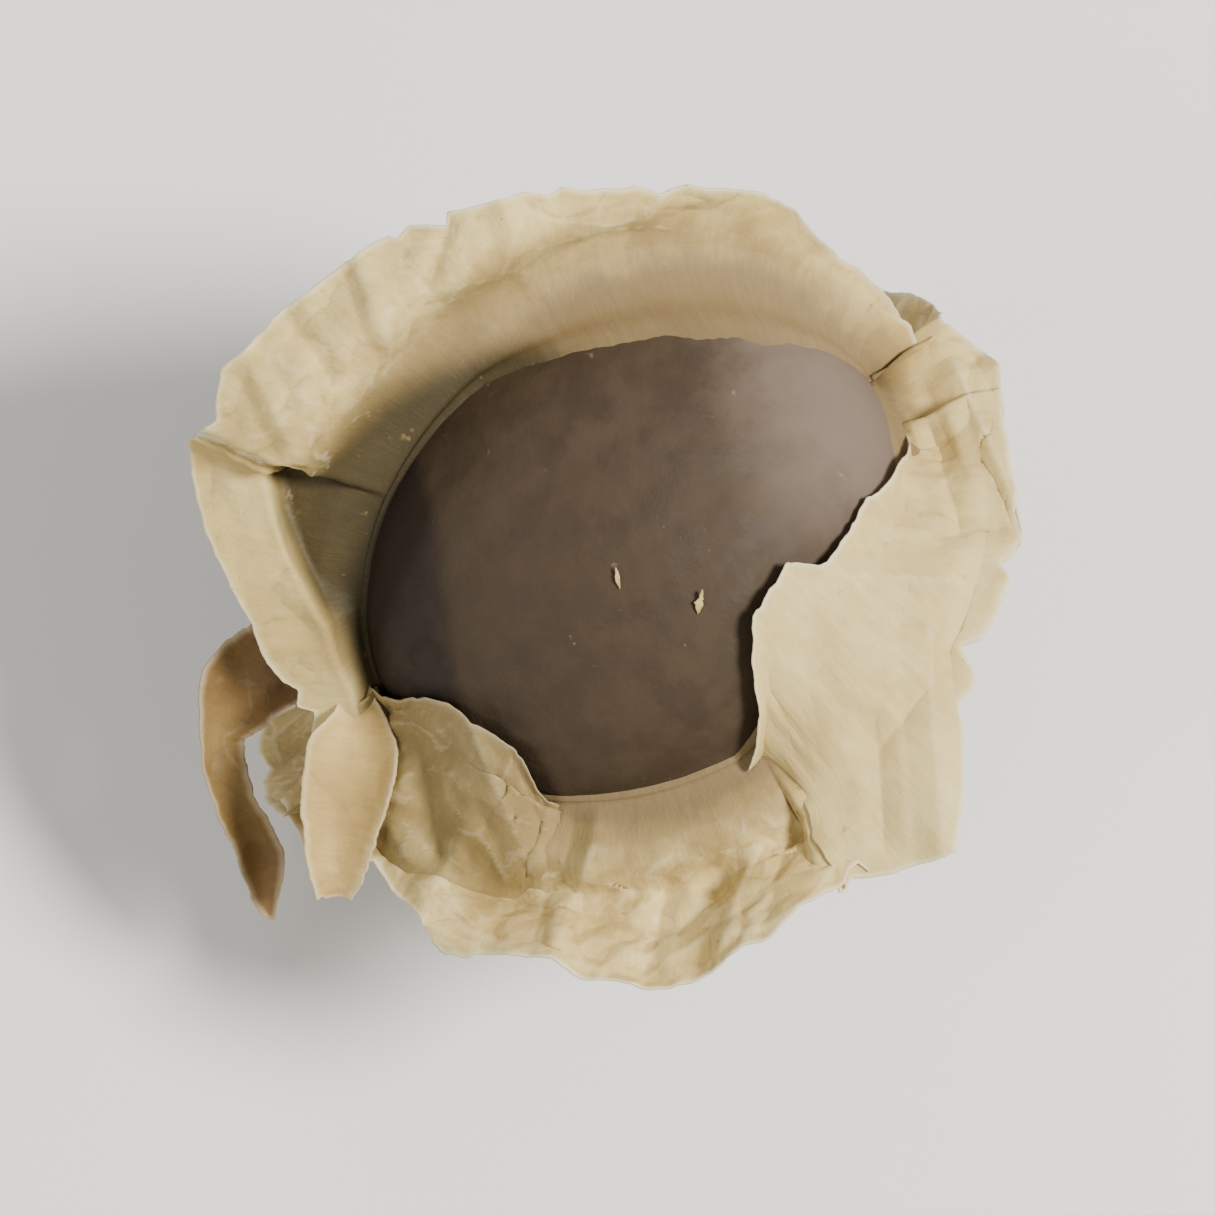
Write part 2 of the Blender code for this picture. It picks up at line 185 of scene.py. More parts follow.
def facets(x, y, cell, seed):
    # crumpled paper: flat facets between sharp creases, on a bent net of triangles
    x = x / cell
    y = y / cell
    bentX = x + 0.42 * softNoise(x * 0.83 + 5.1, y * 0.83, seed + 11)
    bentY = y + 0.42 * softNoise(x * 0.83, y * 0.83 + 9.7, seed + 23)
    skew = (bentX + bentY) * 0.3660254
    column = np.floor(bentX + skew)
    row = np.floor(bentY + skew)
    a = bentX + skew - column
    b = bentY + skew - row
    first = hashNoise(column, row, seed)
    last = hashNoise(column + 1, row + 1, seed)
    right = hashNoise(column + 1, row, seed)
    above = hashNoise(column, row + 1, seed)
    lower = first * (1.0 - a) + right * (a - b) + last * b
    upper = first * (1.0 - b) + above * (b - a) + last * a
    return np.where(a > b, lower, upper)


crumpleForm = {
    "largeFacets": 2.3 * mm,
    "midFacets": 1.05 * mm,
    "smallFacets": 0.42 * mm,
    "creaseStep": 0.09 * mm,     # how far apart the heights are that tell a crease
    "creaseBend": 0.030 * mm,    # a bend as sharp as this counts as a full crease
}


def crumpleHeight(u, v, size, seed):
    # facets of three sizes over one another; size is the height of the largest
    turned = 0.8 * u + 0.6 * v
    crossed = 0.8 * v - 0.6 * u
    height = facets(turned, 0.8 * crossed, crumpleForm["largeFacets"], seed)
    height = height + 0.45 * facets(crossed, turned, crumpleForm["midFacets"], seed + 3)
    return size * (height + 0.14 * facets(u, v, crumpleForm["smallFacets"], seed + 6))


def creaseLines(u, v, size, seed):
    # where the crumpled sheet folds: above 0 on its ridges, below 0 in its valleys
    step = crumpleForm["creaseStep"]
    bend = -4.0 * crumpleHeight(u, v, size, seed)
    for alongU, alongV in ((step, 0.0), (-step, 0.0), (0.0, step), (0.0, -step)):
        bend = bend + crumpleHeight(u + alongU, v + alongV, size, seed)
    return np.clip(-bend / crumpleForm["creaseBend"], -1.0, 1.0)


def tent(away, before, after):
    # 1 on a line, falling straight to 0 this far before and after it
    return np.clip(1.0 - np.where(away < 0.0, -away / before, away / after), 0.0, 1.0)


def foldSheet(points, normal, folds):
    # sharp folds along lines in the plane of the upper face move a sheet along its normals,
    # less where it stands steep to that face. A fold is two ends, its reach on the two sides,
    # and its height, in millimetres to the right and up the slope from the hull's middle.
    flat = (points - seedMiddle) @ faceAxes / mm
    height = np.zeros(flat.shape[:-1])
    lines = np.zeros(flat.shape[:-1])
    for x0, y0, x1, y1, before, after, rise in folds:
        length = math.hypot(x1 - x0, y1 - y0)
        heading = np.array((x1 - x0, y1 - y0)) / length
        along = (flat - (x0, y0)) @ heading
        away = (flat - (x0, y0)) @ np.array((-heading[1], heading[0]))
        beyond = np.maximum(np.maximum(-along, along - length), 0.0)
        ends = np.clip(1.0 - beyond / 0.5, 0.0, 1.0)
        height = height + rise * ends * tent(away, before, after)
        # these fold lines later give painted highlight along raised folds and painted shade along
        # sunk ones
        lines = lines + np.clip(rise / 0.25, -1.0, 1.0) * ends * tent(away, 0.10, 0.10)
    facing = normal @ seedAxes()[0]
    return points + (height * mm * facing)[..., None] * normal, lines


def jagged(x, seed):
    # an uneven torn line in one direction, from -1 to 1
    rows = np.zeros_like(x)
    total = 0.0
    for octave, share in enumerate((1.0, 0.6, 0.35)):
        scaled = x * 2.3 ** octave + 3.7 * octave
        column = np.floor(scaled)
        part = scaled - column
        low = hashNoise(column, rows, seed + octave)
        high = hashNoise(column + 1, rows, seed + octave)
        total = total + share * (low * (1.0 - part) + high * part)
    return total / 1.95


def gridNormals(grid, breaks):
    # normals of a grid of points, worked out apart for each stretch between the tears
    normals = np.empty_like(grid)
    ends = [0] + list(breaks) + [len(grid)]
    for first, last in zip(ends, ends[1:]):
        stretch = grid[first:last]
        along = np.gradient(stretch, axis=0)
        out = np.gradient(stretch, axis=1)
        normals[first:last] = unit(np.cross(out, along))
    return normals


def newPiece(name, data):
    piece = bpy.data.objects.new(name, data)
    bpy.context.scene.collection.objects.link(piece)
    return piece


def storeValues(mesh, label, values):
    layer = mesh.attributes.new(label, "FLOAT", "POINT")
    layer.data.foreach_set("value", values.astype(np.float32))


otherSide = 3.7      # the fibres on a sheet's lower side are taken from this far along, in mm


def sheetMesh(name, upper, lower, values, across, keep=None):
    # two like grids of points closed into one thin solid; keep says which cells stay, values
    # are what the surface reads, and across is where each point lies on the flat sheet
    columns, rows = upper.shape[:2]
    cells = np.ones((columns - 1, rows - 1), bool) if keep is None else keep
    offset = columns * rows
    index = np.arange(offset).reshape(columns, rows)
    a, b = index[:-1, :-1][cells], index[:-1, 1:][cells]
    c, d = index[1:, :-1][cells], index[1:, 1:][cells]
    top = np.stack((a, c, d, b), axis=-1)
    bottom = np.stack((a, b, d, c), axis=-1) + offset
    edges = np.concatenate((top[:, (0, 1)], top[:, (1, 2)], top[:, (2, 3)], top[:, (3, 0)]))
    forward = set(map(tuple, edges.tolist()))
    rim = np.array([edge for edge in forward if (edge[1], edge[0]) not in forward])
    rim = rim[np.lexsort((rim[:, 1], rim[:, 0]))]
    walls = np.stack((rim[:, 1], rim[:, 0], rim[:, 0] + offset, rim[:, 1] + offset), axis=-1)
    faces = np.concatenate((top, bottom, walls))
    points = np.concatenate((upper.reshape(-1, 3), lower.reshape(-1, 3)))
    used = np.unique(faces)
    renumber = np.zeros(len(points), np.int64)
    renumber[used] = np.arange(len(used))
    mesh = bpy.data.meshes.new(name)
    mesh.from_pydata(points[used].tolist(), [], renumber[faces].tolist())
    for label, grid in values.items():
        flipped = -grid if label == "crease" else grid
        storeValues(mesh, label, np.concatenate((grid.reshape(-1), flipped.reshape(-1)))[used])
    flat = across.reshape(-1, 2)
    flat = np.concatenate((flat, flat + (otherSide, 0.0)))[used]
    loops = np.empty(len(mesh.loops), np.int32)
    mesh.loops.foreach_get("vertex_index", loops)
    layer = mesh.uv_layers.new(name="sheet")
    layer.data.foreach_set("uv", flat[loops].astype(np.float32).reshape(-1))
    mesh.shade_smooth()
    return newPiece(name, mesh)


def thickSheet(name, surface, half, values, across):
    # a sheet of this half thickness about its middle surface
    shift = half[..., None] * gridNormals(surface, [])
    return sheetMesh(name, surface + shift, surface - shift, values, across)


# The wings. Widths are in millimetres out from the seam, leans and curls in degrees
# towards growing azimuth, skirts in millimetres out over the hull on each side. A tear is
# its angle, how far out from the seam it starts, and by how many degrees it opens.
wingShared = {
    "seamGap": 0.10 * mm,
    "lipRun": 0.80 * mm,         # the rim rolls over in this last stretch
    "skirtEnd": 0.90 * mm,       # here the skirts have met and the blade begins
    "skirtSunk": 0.14 * mm,      # their feet lie this deep in the hull
    "skirtClear": 0.07 * mm,     # and soon after they stay this far above it
    "skirtRagged": 0.06,
    "skirtMost": 58.0,           # degrees round the hull that a skirt spreads at most
    "sheetRadius": 7.5 * mm,     # degrees along a wing count as lengths at this radius
    "halfThickness": 0.065 * mm,
    "rimHalfThickness": 0.022 * mm,
    "columnStep": 0.5,
    "pastAxis": 2.0,
    "skirtRows": 14,
    "bladeRows": 56,
    "bendSteps": 40,
    "jags": 0.10 * mm,           # how ragged the rim is, in two sizes
    "fineJags": 0.035 * mm,
    "nickReach": (0.6, 4.4),     # degrees to each side of a nick
    "nickDepth": (0.08, 0.42),   # millimetres
    "flutter": 0.10 * mm,        # how far the rim wavers
    "pressRounding": 0.45 * mm,
}
sideFolds = [
    (6.53, 2.63, 7.20, 0.55, 0.35, 0.5, -0.22),
    (7.20, 3.81, 8.53, 0.70, 0.8, 0.5, 0.30),
    (6.75, 0.33, 8.46, 0.47, 0.4, 0.4, -0.25),
    (4.23, -0.56, 7.94, -0.79, 1.6, 0.8, 0.18),
    (5.27, -3.90, 5.42, -6.28, 0.5, 0.5, -0.18),
    (6.31, -1.82, 6.68, -6.42, 0.6, 0.5, 0.22),
]
wingForms = {
    "left": {
        "azimuth": -60.0,
        "width": [(0, 1.3), (22, 1.5), (40, 2.4), (55, 2.8), (66, 2.9), (72, 3.3), (87, 3.9),
                  (103, 4.4), (117, 5.1), (123, 4.6), (127, 5.1), (132, 4.7), (142, 3.75),
                  (150, 3.0), (158, 2.6), (168, 2.15), (180, 1.9)],
        "dip": [(0, 0), (124.5, 0), (125.5, -36), (150, -20), (165, 0), (180, 0)],
        "lean": [(0, 0), (20, 24), (40, 34), (60, 34), (75, 32), (124.5, 30), (125.5, 92),
                 (142, 90), (150, 80), (165, 62), (180, 50)],
        "leanStart": [(0, 0.9), (124.5, 0.8), (125.5, 2.3), (132, 1.75), (150, 0.25), (165, 0.0),
                      (180, 0.0)],
        "leanRun": [(0, 1.0), (124.5, 1.0), (125.5, 0.45), (180, 0.45)],
        "curl": [(0, 0), (22, -20), (40, -44), (60, -64), (124.5, -74), (125.5, -94),
                 (150, -98), (165, -96), (180, -76)],
        "curlStart": [(0, 1.6), (40, 2.1), (124.5, 2.3), (125.5, 3.3), (132, 2.75), (150, 1.2),
                      (165, 0.8), (180, 0.75)],
        "curlRun": [(0, 1.2), (124.5, 0.8), (125.5, 0.22), (180, 0.22)],
        "lip": [(0, 0), (60, 14), (124.5, 18), (125.5, 6), (180, 8)],
        "pleat": 0.15 * mm,
        "pleats": 5.3,
        "tears": [(125.0, 1.9, 0.5)],
        "skirtUp": [(0, 0.5), (20, 1.4), (40, 2.25), (55, 2.2), (70, 1.9), (84, 1.1), (95, 0.5),
                    (125, 0.25), (155, 0.2), (180, 0.5)],
        "skirtDown": [(0, 0.5), (50, 1.2), (110, 1.3), (180, 0.5)],
        "crumple": [(0, 0.22), (50, 0.18), (100, 0.22), (124.5, 0.28), (125.5, 0.10), (180, 0.2)],
        "footAndShadeEnd": [(0, 1.4), (40, 2.0), (60, 2.6), (90, 3.0), (124.5, 3.2), (125.5, 2.9),
                    (150, 1.6), (180, 1.2)],
        # painted shade in the crevice between this wing and the hull reaches out this far, in mm
        "creviceShadeEnd": [(0, -1.5), (75, -1.0), (88, 0.3), (100, 1.4), (112, 2.2), (124.5, 2.7),
                     (125.5, 3.5), (132, 3.1), (150, 1.8), (165, 1.1), (180, 0.9)],
        "nicks": 6,
        "folds": [(-4.08, 6.78, -4.45, 5.59, 0.3, 0.3, -0.15),
                  (-6.08, 6.63, -5.42, 4.70, 0.4, 0.6, 0.20),
                  (-7.64, 5.30, -6.75, 3.96, 0.3, 0.4, -0.15),
                  (-8.53, 4.55, -7.34, 2.18, 0.4, 0.4, 0.15),
                  (-2.89, 7.60, -2.45, 6.04, 0.4, 0.5, 0.15)],
        "seed": 101,
    },
    "right": {
        "azimuth": 60.0,
        "width": [(0, 2.0), (10, 2.6), (20, 2.2), (40, 2.3), (50, 2.2), (57, 2.1), (63, 2.4),
                  (70, 3.0), (75, 3.7), (80, 4.4), (86, 3.8), (91, 3.4), (95, 3.8),
                  (105, 4.2), (120, 4.4), (131, 4.1), (147, 3.9), (156, 3.0), (164, 2.6),
                  (172, 3.4), (180, 3.0)],
        "dip": 0,
        "lean": [(0, 0), (16, 8), (40, 18), (92.5, 22), (93.5, 50), (140, 48), (165, 24),
                 (180, 0)],
        "leanStart": [(0, 0.9), (92.5, 0.8), (93.5, 0.4)],
        "leanRun": 1.0,
        "curl": [(0, 0), (30, -12), (60, 12), (92.5, 6), (93.5, -62), (140, -60), (165, -30),
                 (180, 0)],
        "curlStart": [(0, 1.7), (92.5, 1.7), (93.5, 1.9), (180, 1.6)],
        "curlRun": [(0, 1.0), (92.5, 1.0), (93.5, 0.5), (180, 0.6)],
        "lip": [(0, 0), (50, -8), (92.5, -6), (93.5, -18), (180, -16)],
        "pleat": 0.30 * mm,
        "pleats": 6.2,
        "tears": [(93.0, 1.5, -2.6)],
        "skirtUp": [(0, 0.5), (30, 1.2), (80, 1.4), (150, 1.2), (180, 0.5)],
        "skirtDown": [(0, 0.5), (20, 1.0), (90, 1.0), (98, 0.45), (150, 0.4), (180, 0.5)],
        "crumple": [(0, 0.30), (15, 0.15), (60, 0.08), (92.5, 0.10), (93.5, 0.42), (180, 0.4)],
        "footAndShadeEnd": [(0, 0.9), (20, 0.5), (60, 0.6), (92.5, 1.4), (93.5, 2.2), (135, 2.5),
                    (150, 3.8), (180, 4.2)],
        "creviceShadeEnd": -2.0,
        "nicks": 3,
        "folds": sideFolds + [(-1.56, -7.54, 1.71, -7.39, 0.5, 0.6, -0.22),
                              (1.71, -7.39, 3.64, -6.28, 0.5, 0.6, -0.22),
                              (-0.82, -6.50, -2.15, -9.76, 0.5, 0.6, 0.30),
                              (2.60, -6.72, 1.85, -9.24, 0.5, 0.6, 0.28),
                              (0.67, -7.61, 0.07, -9.84, 0.5, 0.4, -0.20),
                              (-4.67, -8.20, -2.00, -9.54, 0.5, 0.5, 0.22),
                              (-2.89, -6.87, -1.71, -7.76, 0.5, 0.5, 0.20)],
        "seed": 202,
    },
    "under": {
        "azimuth": 180.0,
        "width": [(0, 1.6), (30, 3.6), (50, 5.2), (62, 5.6), (76, 5.0), (80, 4.9), (92, 5.7),
                  (104, 5.4), (110, 4.8), (115, 5.0), (126, 5.6), (145, 4.8), (165, 3.8),
                  (180, 3.2)],
        "dip": 0,
        "lean": [(0, 0), (25, 26), (60, 34), (77.5, 50), (78.5, -56), (112, -56), (113, 46),
                 (128, 32), (150, 28), (180, 0)],
        "leanStart": 0.9,
        "leanRun": 1.0,
        "curl": [(0, 0), (40, 12), (77.5, 8), (78.5, -6), (112, -6), (113, 8), (150, 14),
                 (180, 0)],
        "curlStart": 2.0,
        "curlRun": 1.5,
        "lip": [(0, 0), (60, 20), (77.5, 10), (78.5, -10), (112, -10), (113, 16), (180, 10)],
        "pleat": 0.20 * mm,
        "pleats": 4.7,
        "tears": [(78.0, 1.4, 0.5), (112.5, 1.4, 0.5)],
        "skirtUp": [(0, 0.5), (30, 1.2), (80, 1.4), (150, 1.3), (180, 0.5)],
        "skirtDown": [(0, 0.5), (30, 1.2), (90, 1.5), (150, 1.3), (180, 0.5)],
        "crumple": 0.3,
        # past 113 degrees the foot colour spreads over the rear lobe as painted shade
        "footAndShadeEnd": [(0, 1.6), (90, 2.2), (112, 2.4), (113, 5.4), (180, 5.0)],
        "creviceShadeEnd": -2.0,
        "nicks": 6,
        "folds": [],
        "seed": 303,
    },
}


def wingWidth(form, angle):
    # the outline with its ragged rim: fine jags, and a few deeper nicks
    seed = form["seed"]
    width = table(form["width"], angle) * mm
    width = width + wingShared["jags"] * jagged(angle / 6.2, seed + 1)
    width = width + wingShared["fineJags"] * jagged(angle / 1.7, seed + 5)
    draw = np.random.default_rng(seed)
    for _ in range(form["nicks"]):
        middle = draw.uniform(8.0, 172.0)
        before = draw.uniform(*wingShared["nickReach"])
        after = draw.uniform(*wingShared["nickReach"])
        depth = draw.uniform(*wingShared["nickDepth"]) * mm
        width = width - depth * tent(angle - middle, before, after)
    return width


def wingMiddle(form, angle, turn, reach, width):
    # the wing's middle surface before it crumples, in the seed's own frame; turn opens a tear
    theta = np.radians(angle + turn)
    phi = math.radians(form["azimuth"])
    outward = np.array((math.cos(phi), math.sin(phi), 0.0))
    sideways = np.array((-math.sin(phi), math.cos(phi), 0.0))
    beak = np.array((0.0, 0.0, 1.0))
    fan = np.sin(theta)[..., None] * outward + np.cos(theta)[..., None] * beak
    dip, lean, curl, lip = (np.radians(table(form[key], angle))
                            for key in ("dip", "lean", "curl", "lip"))
    leanStart, leanRun, curlStart, curlRun = (
        table(form[key], angle) * mm for key in ("leanStart", "leanRun", "curlStart", "curlRun"))
    points = hullPoint(angle + turn, form["azimuth"], wingShared["seamGap"])
    steps = wingShared["bendSteps"]
    lipRun = wingShared["lipRun"]
    for step in range(steps):
        along = reach * (step + 0.5) / steps
        bend = dip * smoothStep(along / (0.6 * mm))
        bend = bend + lean * smoothStep((along - leanStart) / leanRun)
        bend = bend + curl * smoothStep((along - curlStart) / curlRun)
        bend = bend + lip * smoothStep((along - width + lipRun) / lipRun)
        length = (reach / steps)[..., None]
        points = points + length * np.cos(bend)[..., None] * fan
        points = points + length * np.sin(bend)[..., None] * sideways
    fade = np.sin(theta) ** 2 * smoothStep((reach - leanStart) / (4.0 * mm))
    wave = np.sin(theta * 2.0 * form["pleats"] + phi)
    return points + (form["pleat"] * fade * wave)[..., None] * sideways


def pressFlat(points):
    # what would reach below the floor is pressed onto it, with a rounded bend
    rounding = wingShared["pressRounding"]
    lowest = wingShared["halfThickness"]
    height = points[..., 2] - lowest
    bend = (height + rounding) ** 2 / (4.0 * rounding)
    pressed = np.where(height > rounding, height, bend)
    pressed = np.where(height < -rounding, 0.0, pressed)
    return np.concatenate((points[..., :2], pressed[..., None] + lowest), axis=-1)


def wingColumns(form):
    # even columns, and a close pair at each tear; breaks are where the pairs part
    step = wingShared["columnStep"]
    past = wingShared["pastAxis"]
    angles = np.arange(-past, 180.0 + past + 0.1, step)
    for tear, _, _ in form["tears"]:
        angles = angles[np.abs(angles - tear) > 0.3]
        angles = np.sort(np.append(angles, (tear - 0.12, tear + 0.12)))
    breaks = [int(np.searchsorted(angles, tear)) for tear, _, _ in form["tears"]]
    return angles, breaks


def wingBlade(form):
    # the blade's middle surface on a grid, from the skirts out to the rim
    seed = form["seed"]
    angles, breaks = wingColumns(form)
    width = wingWidth(form, angles)
    start = np.minimum(wingShared["skirtEnd"], 0.7 * width)
    share = np.linspace(0.0, 1.0, wingShared["bladeRows"])
    reach = start[:, None] + (width - start)[:, None] * share[None, :]
    angle = np.repeat(angles[:, None], len(share), axis=1)
    turn = np.zeros_like(angle)
    for number, (tear, tearStart, opening) in enumerate(form["tears"]):
        side = np.sign(angles - tear)[:, None]
        beyond = np.maximum(reach - tearStart * mm, 0.0)
        gap = opening * smoothStep(beyond / (0.8 * mm)) + 0.4 * smoothStep(beyond / (0.3 * mm))
        before, after = (jagged(reach / (0.5 * mm), seed + first + number) for first in (50, 40))
        rough = np.where(side > 0.0, after, before)
        gap = gap + 0.5 * rough * smoothStep(beyond / (0.6 * mm))
        near = np.exp(-np.abs(angles - tear) / 6.0)[:, None]
        turn = turn + side * gap * near
    wide = np.repeat(width[:, None], len(share), axis=1)
    middle = wingMiddle(form, angle, turn, reach, wide)
    u = np.radians(angle + turn) * wingShared["sheetRadius"]
    normal = gridNormals(middle, breaks)
    size = table(form["crumple"], angle) * mm * smoothStep((reach - 0.6 * mm) / (1.6 * mm))
    crumple = crumpleHeight(u, reach, size, seed)
    crease = creaseLines(u, reach, size, seed)
    flutter = wingShared["flutter"] * smoothStep(1.0 - (wide - reach) / (1.1 * mm))
    crumple = crumple + flutter * softNoise(u / (0.9 * mm), reach / mm, seed + 8)
    middle = toWorld(middle + crumple[..., None] * normal)
    middle, lines = foldSheet(middle, gridNormals(middle, breaks), form["folds"])
    middle = pressFlat(middle)
    normal = gridNormals(middle, breaks)
    towards = np.sign(normal @ seedAxes()[0])
    return angles, breaks, reach, wide, middle, normal, crease + towards * lines


def buildWing(name, form):
    angles, breaks, reach, wide, middle, normal, crease = wingBlade(form)
    seed = form["seed"]
    skirtRows = wingShared["skirtRows"]
    rimward = smoothStep(1.0 - (wide - reach) / (0.5 * mm))
    half = wingShared["halfThickness"]
    half = half + (wingShared["rimHalfThickness"] - half) * rimward
    azimuth = form["azimuth"]
    sideways = onSeed(angles, azimuth + 1.0) - onSeed(angles, azimuth)
    middleColumn = len(angles) // 2
    sign = np.sign(np.dot(normal[middleColumn, 0], sideways[middleColumn]))
    share = np.linspace(0.0, 1.0, skirtRows)[None, :, None]
    sunk = wingShared["skirtSunk"]
    clear = (wingShared["skirtClear"] + sunk) * smoothStep(share[..., 0] / 0.18) - sunk
    layers = []
    spreads = []
    for side, key in ((1.0, "skirtUp"), (-1.0, "skirtDown")):
        blade = middle + (side * sign * half)[..., None] * normal
        ragged = wingShared["skirtRagged"] * jagged(angles / 5.5, seed + 60 + int(side))
        spread = table(form[key], angles) * mm * (1.0 + ragged)
        around = np.maximum(np.abs(np.sin(np.radians(angles))) * hullForm["radius"], 1e-6)
        turn = side * np.minimum(np.degrees(spread / around), wingShared["skirtMost"])
        foot = onSeed(angles, azimuth + turn, -sunk)
        corner = onSeed(angles, azimuth + 0.13 * turn, wingShared["seamGap"])
        fillet = keepOff(bentBetween(foot, corner, blade[:, 0], share), clear)
        layers.append(np.concatenate((fillet[:, :-1], blade), axis=1))
        spreads.append(spread)
    inward = np.linspace(1.0, 0.0, skirtRows)[None, :-1]
    spread = 0.5 * (spreads[0] + spreads[1])[:, None]
    skirtReach = reach[:, :1] - inward * (reach[:, :1] + spread)
    reaches = np.concatenate((skirtReach, reach), axis=1)
    keep = np.ones((len(angles) - 1, reaches.shape[1] - 1), bool)
    for (_, tearStart, _), cut in zip(form["tears"], breaks):
        keep[cut - 1] = reaches[cut - 1, 1:] < tearStart * mm
    angle = np.repeat(angles[:, None], reaches.shape[1], axis=1)
    values = {
        # the skin's own ochre by the seam; where it reaches far out, on the left wing near its tear
        # and the under wing's rear lobe, it is painted shade
        "foot": reaches / mm / table(form["footAndShadeEnd"], angle),
        # painted shade in the crevice by the hull, out to the reach the table gives
        "creviceShade": table(form["creviceShadeEnd"], angle) - reaches / mm,
        "rim": (wide[:, :1] - reaches) / mm,
        "crease": np.concatenate((0.0 * skirtReach, sign * crease), axis=1),
    }
    across = np.stack((np.radians(angle) * wingShared["sheetRadius"], reaches), axis=-1) / mm
    piece = sheetMesh("wing_" + name, layers[0], layers[1], values, across, keep)
    return piece, middle, normal * sign, reach, angles


print("building the wings")
wingPieces = {}
wingGrids = {}
for wingName, wingForm in wingForms.items():
    wingPieces[wingName], *wingGrids[wingName] = buildWing(wingName, wingForm)


def buildHull():
    # the hull's skin: slow dents, long wrinkles towards the ends, and fine pebbling
    angles = np.linspace(0.0, 180.0, hullForm["rings"] + 1)[1:-1]
    azimuths = np.arange(hullForm["sides"]) * 360.0 / hullForm["sides"]
    angle, azimuth = np.meshgrid(angles, azimuths, indexing="ij")
    ends = np.sin(np.radians(angle))
    depth = hullDents(angle, azimuth)
    ripple = softNoise(azimuth / 7.5, angle / 45.0, 900)
    wrapped = softNoise((azimuth - 360.0) / 7.5, angle / 45.0, 900)
    blend = smoothStep((azimuth - 330.0) / 30.0)
    depth = depth + hullForm["wrinkle"] * (ripple * (1.0 - blend) + wrapped * blend) * ends
    x, y, z = np.moveaxis(hullPoint(angle, azimuth, -depth) / hullForm["pebbleSize"], -1, 0)
    grain = softNoise(x, y + 31.7, 901) + softNoise(y, z + 7.3, 902)
    skin = hullPoint(angle, azimuth, -depth - hullForm["pebble"] * (0.5 + 0.5 * grain))
    tips = hullPoint(np.array((0.0, 180.0)), np.zeros(2), 0.0)
    points = toWorld(np.concatenate((skin.reshape(-1, 3), tips)))
    rings, sides = angle.shape
    index = np.arange(rings * sides).reshape(rings, sides)
    after = np.roll(index, -1, axis=1)
    quads = np.stack((index[:-1], index[1:], after[1:], after[:-1]), axis=-1).reshape(-1, 4)
    faces = quads.tolist()
    faces += [(int(a), int(b), rings * sides) for a, b in zip(index[0], after[0])]
    faces += [(int(b), int(a), rings * sides + 1) for a, b in zip(index[-1], after[-1])]
    mesh = bpy.data.meshes.new("hull_skin")
    mesh.from_pydata(points.tolist(), [], faces)
    # a greyish film with a painted sheen lies near the beak, a little to the right
    signed = (azimuth + 180.0) % 360.0 - 180.0
    filmAndSheen = np.cos(np.radians(angle)) - 0.0035 * np.abs(signed - 6.0)
    # painted shade: how far each point lies past the slanting line on the left side
    paintedShade = np.radians(table(hullForm["paintedShadeLine"], angle) - signed)
    paintedShade = paintedShade * ends * hullForm["radius"] / mm
    paintedShade = np.minimum(paintedShade, 0.35 * (signed + 62.0))
    for label, grid in (("filmAndSheen", filmAndSheen), ("paintedShade", paintedShade)):
        atEnds = (grid[0].mean(), grid[-1].mean())
        storeValues(mesh, label, np.concatenate((grid.reshape(-1), atEnds)))
    mesh.shade_smooth()
    return newPiece("hull_skin", mesh)


print("building the hull")
hullSkin = buildHull()

# Flaps of torn skin over the upper face. Each edge is a list of (angle, azimuth) on the
# hull; meets says which wing each point of it runs out to, at what angle and how far (mm).
# Puff is how far a flap bulges clear of the wing, in millimetres by the edge's angle.
flapShared = {
    "columnGap": 0.07 * mm,
    "rows": 64,                  # from the edge to the meeting line
    "plyRows": 30,               # and from there to the rim, where a flap goes on
    "plyLift": 0.10 * mm,        # how far it lies off the wing's middle there
    "edgeLift": 0.06 * mm,
    "hullGap": 0.07 * mm,
    "halfThickness": 0.045 * mm,
    "curlReach": 0.7 * mm,       # the edge curls up over this stretch
    "calmRun": 0.8 * mm,         # its own crumples end in this stretch before the meeting line
}
flapForms = {
    "side": {
        "edge": [(12, 58), (20, 46), (29, 36), (45, 29), (56, 29), (64, 28), (69, 22), (75, 24),
                 (80, 26), (85, 34), (90, 46), (97, 58)],
        "meets": [("right", angle, 1.6) for angle in
                  (14, 21, 29, 45, 56, 64, 69, 75, 80, 85, 89, 92)],
        "edgeStep": 1.0,
        "onward": True,              # past the meeting line it goes on out to the rim
        "lift": 0.10 * mm,
        "curlUp": 0.24 * mm,
        "puff": [(12, 0.26), (30, 0.18)],
        "crumple": [(12, 0.10), (50, 0.14), (66, 0.10), (97, 0.09)],
        "footShift": 1.4,
        "folds": sideFolds,
        "seed": 411,
    },
    "tail": {
        "edge": [(134, 60), (135, 49), (134, 38), (133, 28), (137, 18), (142, 6), (148, -2),
                 (156, -10), (163, -24), (166, -42), (168, -58)],
        "meets": [("right", 134, 2.0), ("right", 138, 2.1), ("right", 145, 2.2),
                  ("right", 152, 2.3), ("right", 159, 2.4), ("right", 166, 2.3),
                  ("right", 173, 2.1), ("right", 179, 1.7), ("left", 178, 0.7),
                  ("left", 172, 0.6), ("left", 168, 0.5)],
        "edgeStep": 0.7,
        "onward": False,
        "lift": 0.12 * mm,
        "curlUp": 0.16 * mm,
        "puff": [(133, 0.24), (148, 0.26), (156, 0.20), (163, 0.04), (168, 0.0)],
        "crumple": [(133, 0.26), (168, 0.30)],
        "footShift": 0.40,
        "folds": [(-3.49, -3.68, -2.30, -6.87, 0.6, 0.5, 0.25),
                  (-4.82, -4.50, -4.23, -7.31, 0.4, 0.5, -0.25),
                  (-1.56, -5.68, -1.71, -7.31, 0.3, 0.4, -0.20),
                  (-5.27, -6.13, -4.53, -7.61, 0.4, 0.4, 0.20)],
        "seed": 522,
    },
}


def alongLine(spots, run, line):
    # places on a line of points, by how far along it they lie
    return np.stack([np.interp(spots, run, line[:, axis]) for axis in range(3)], -1)


def wingPlace(wing, angle, reach):
    # a point of a wing's middle surface, as it is crumpled and folded
    middle, _, reaches, angles = wingGrids[wing]
    column = int(np.abs(angles - angle).argmin())
    return alongLine(reach * mm, reaches[column], middle[column])


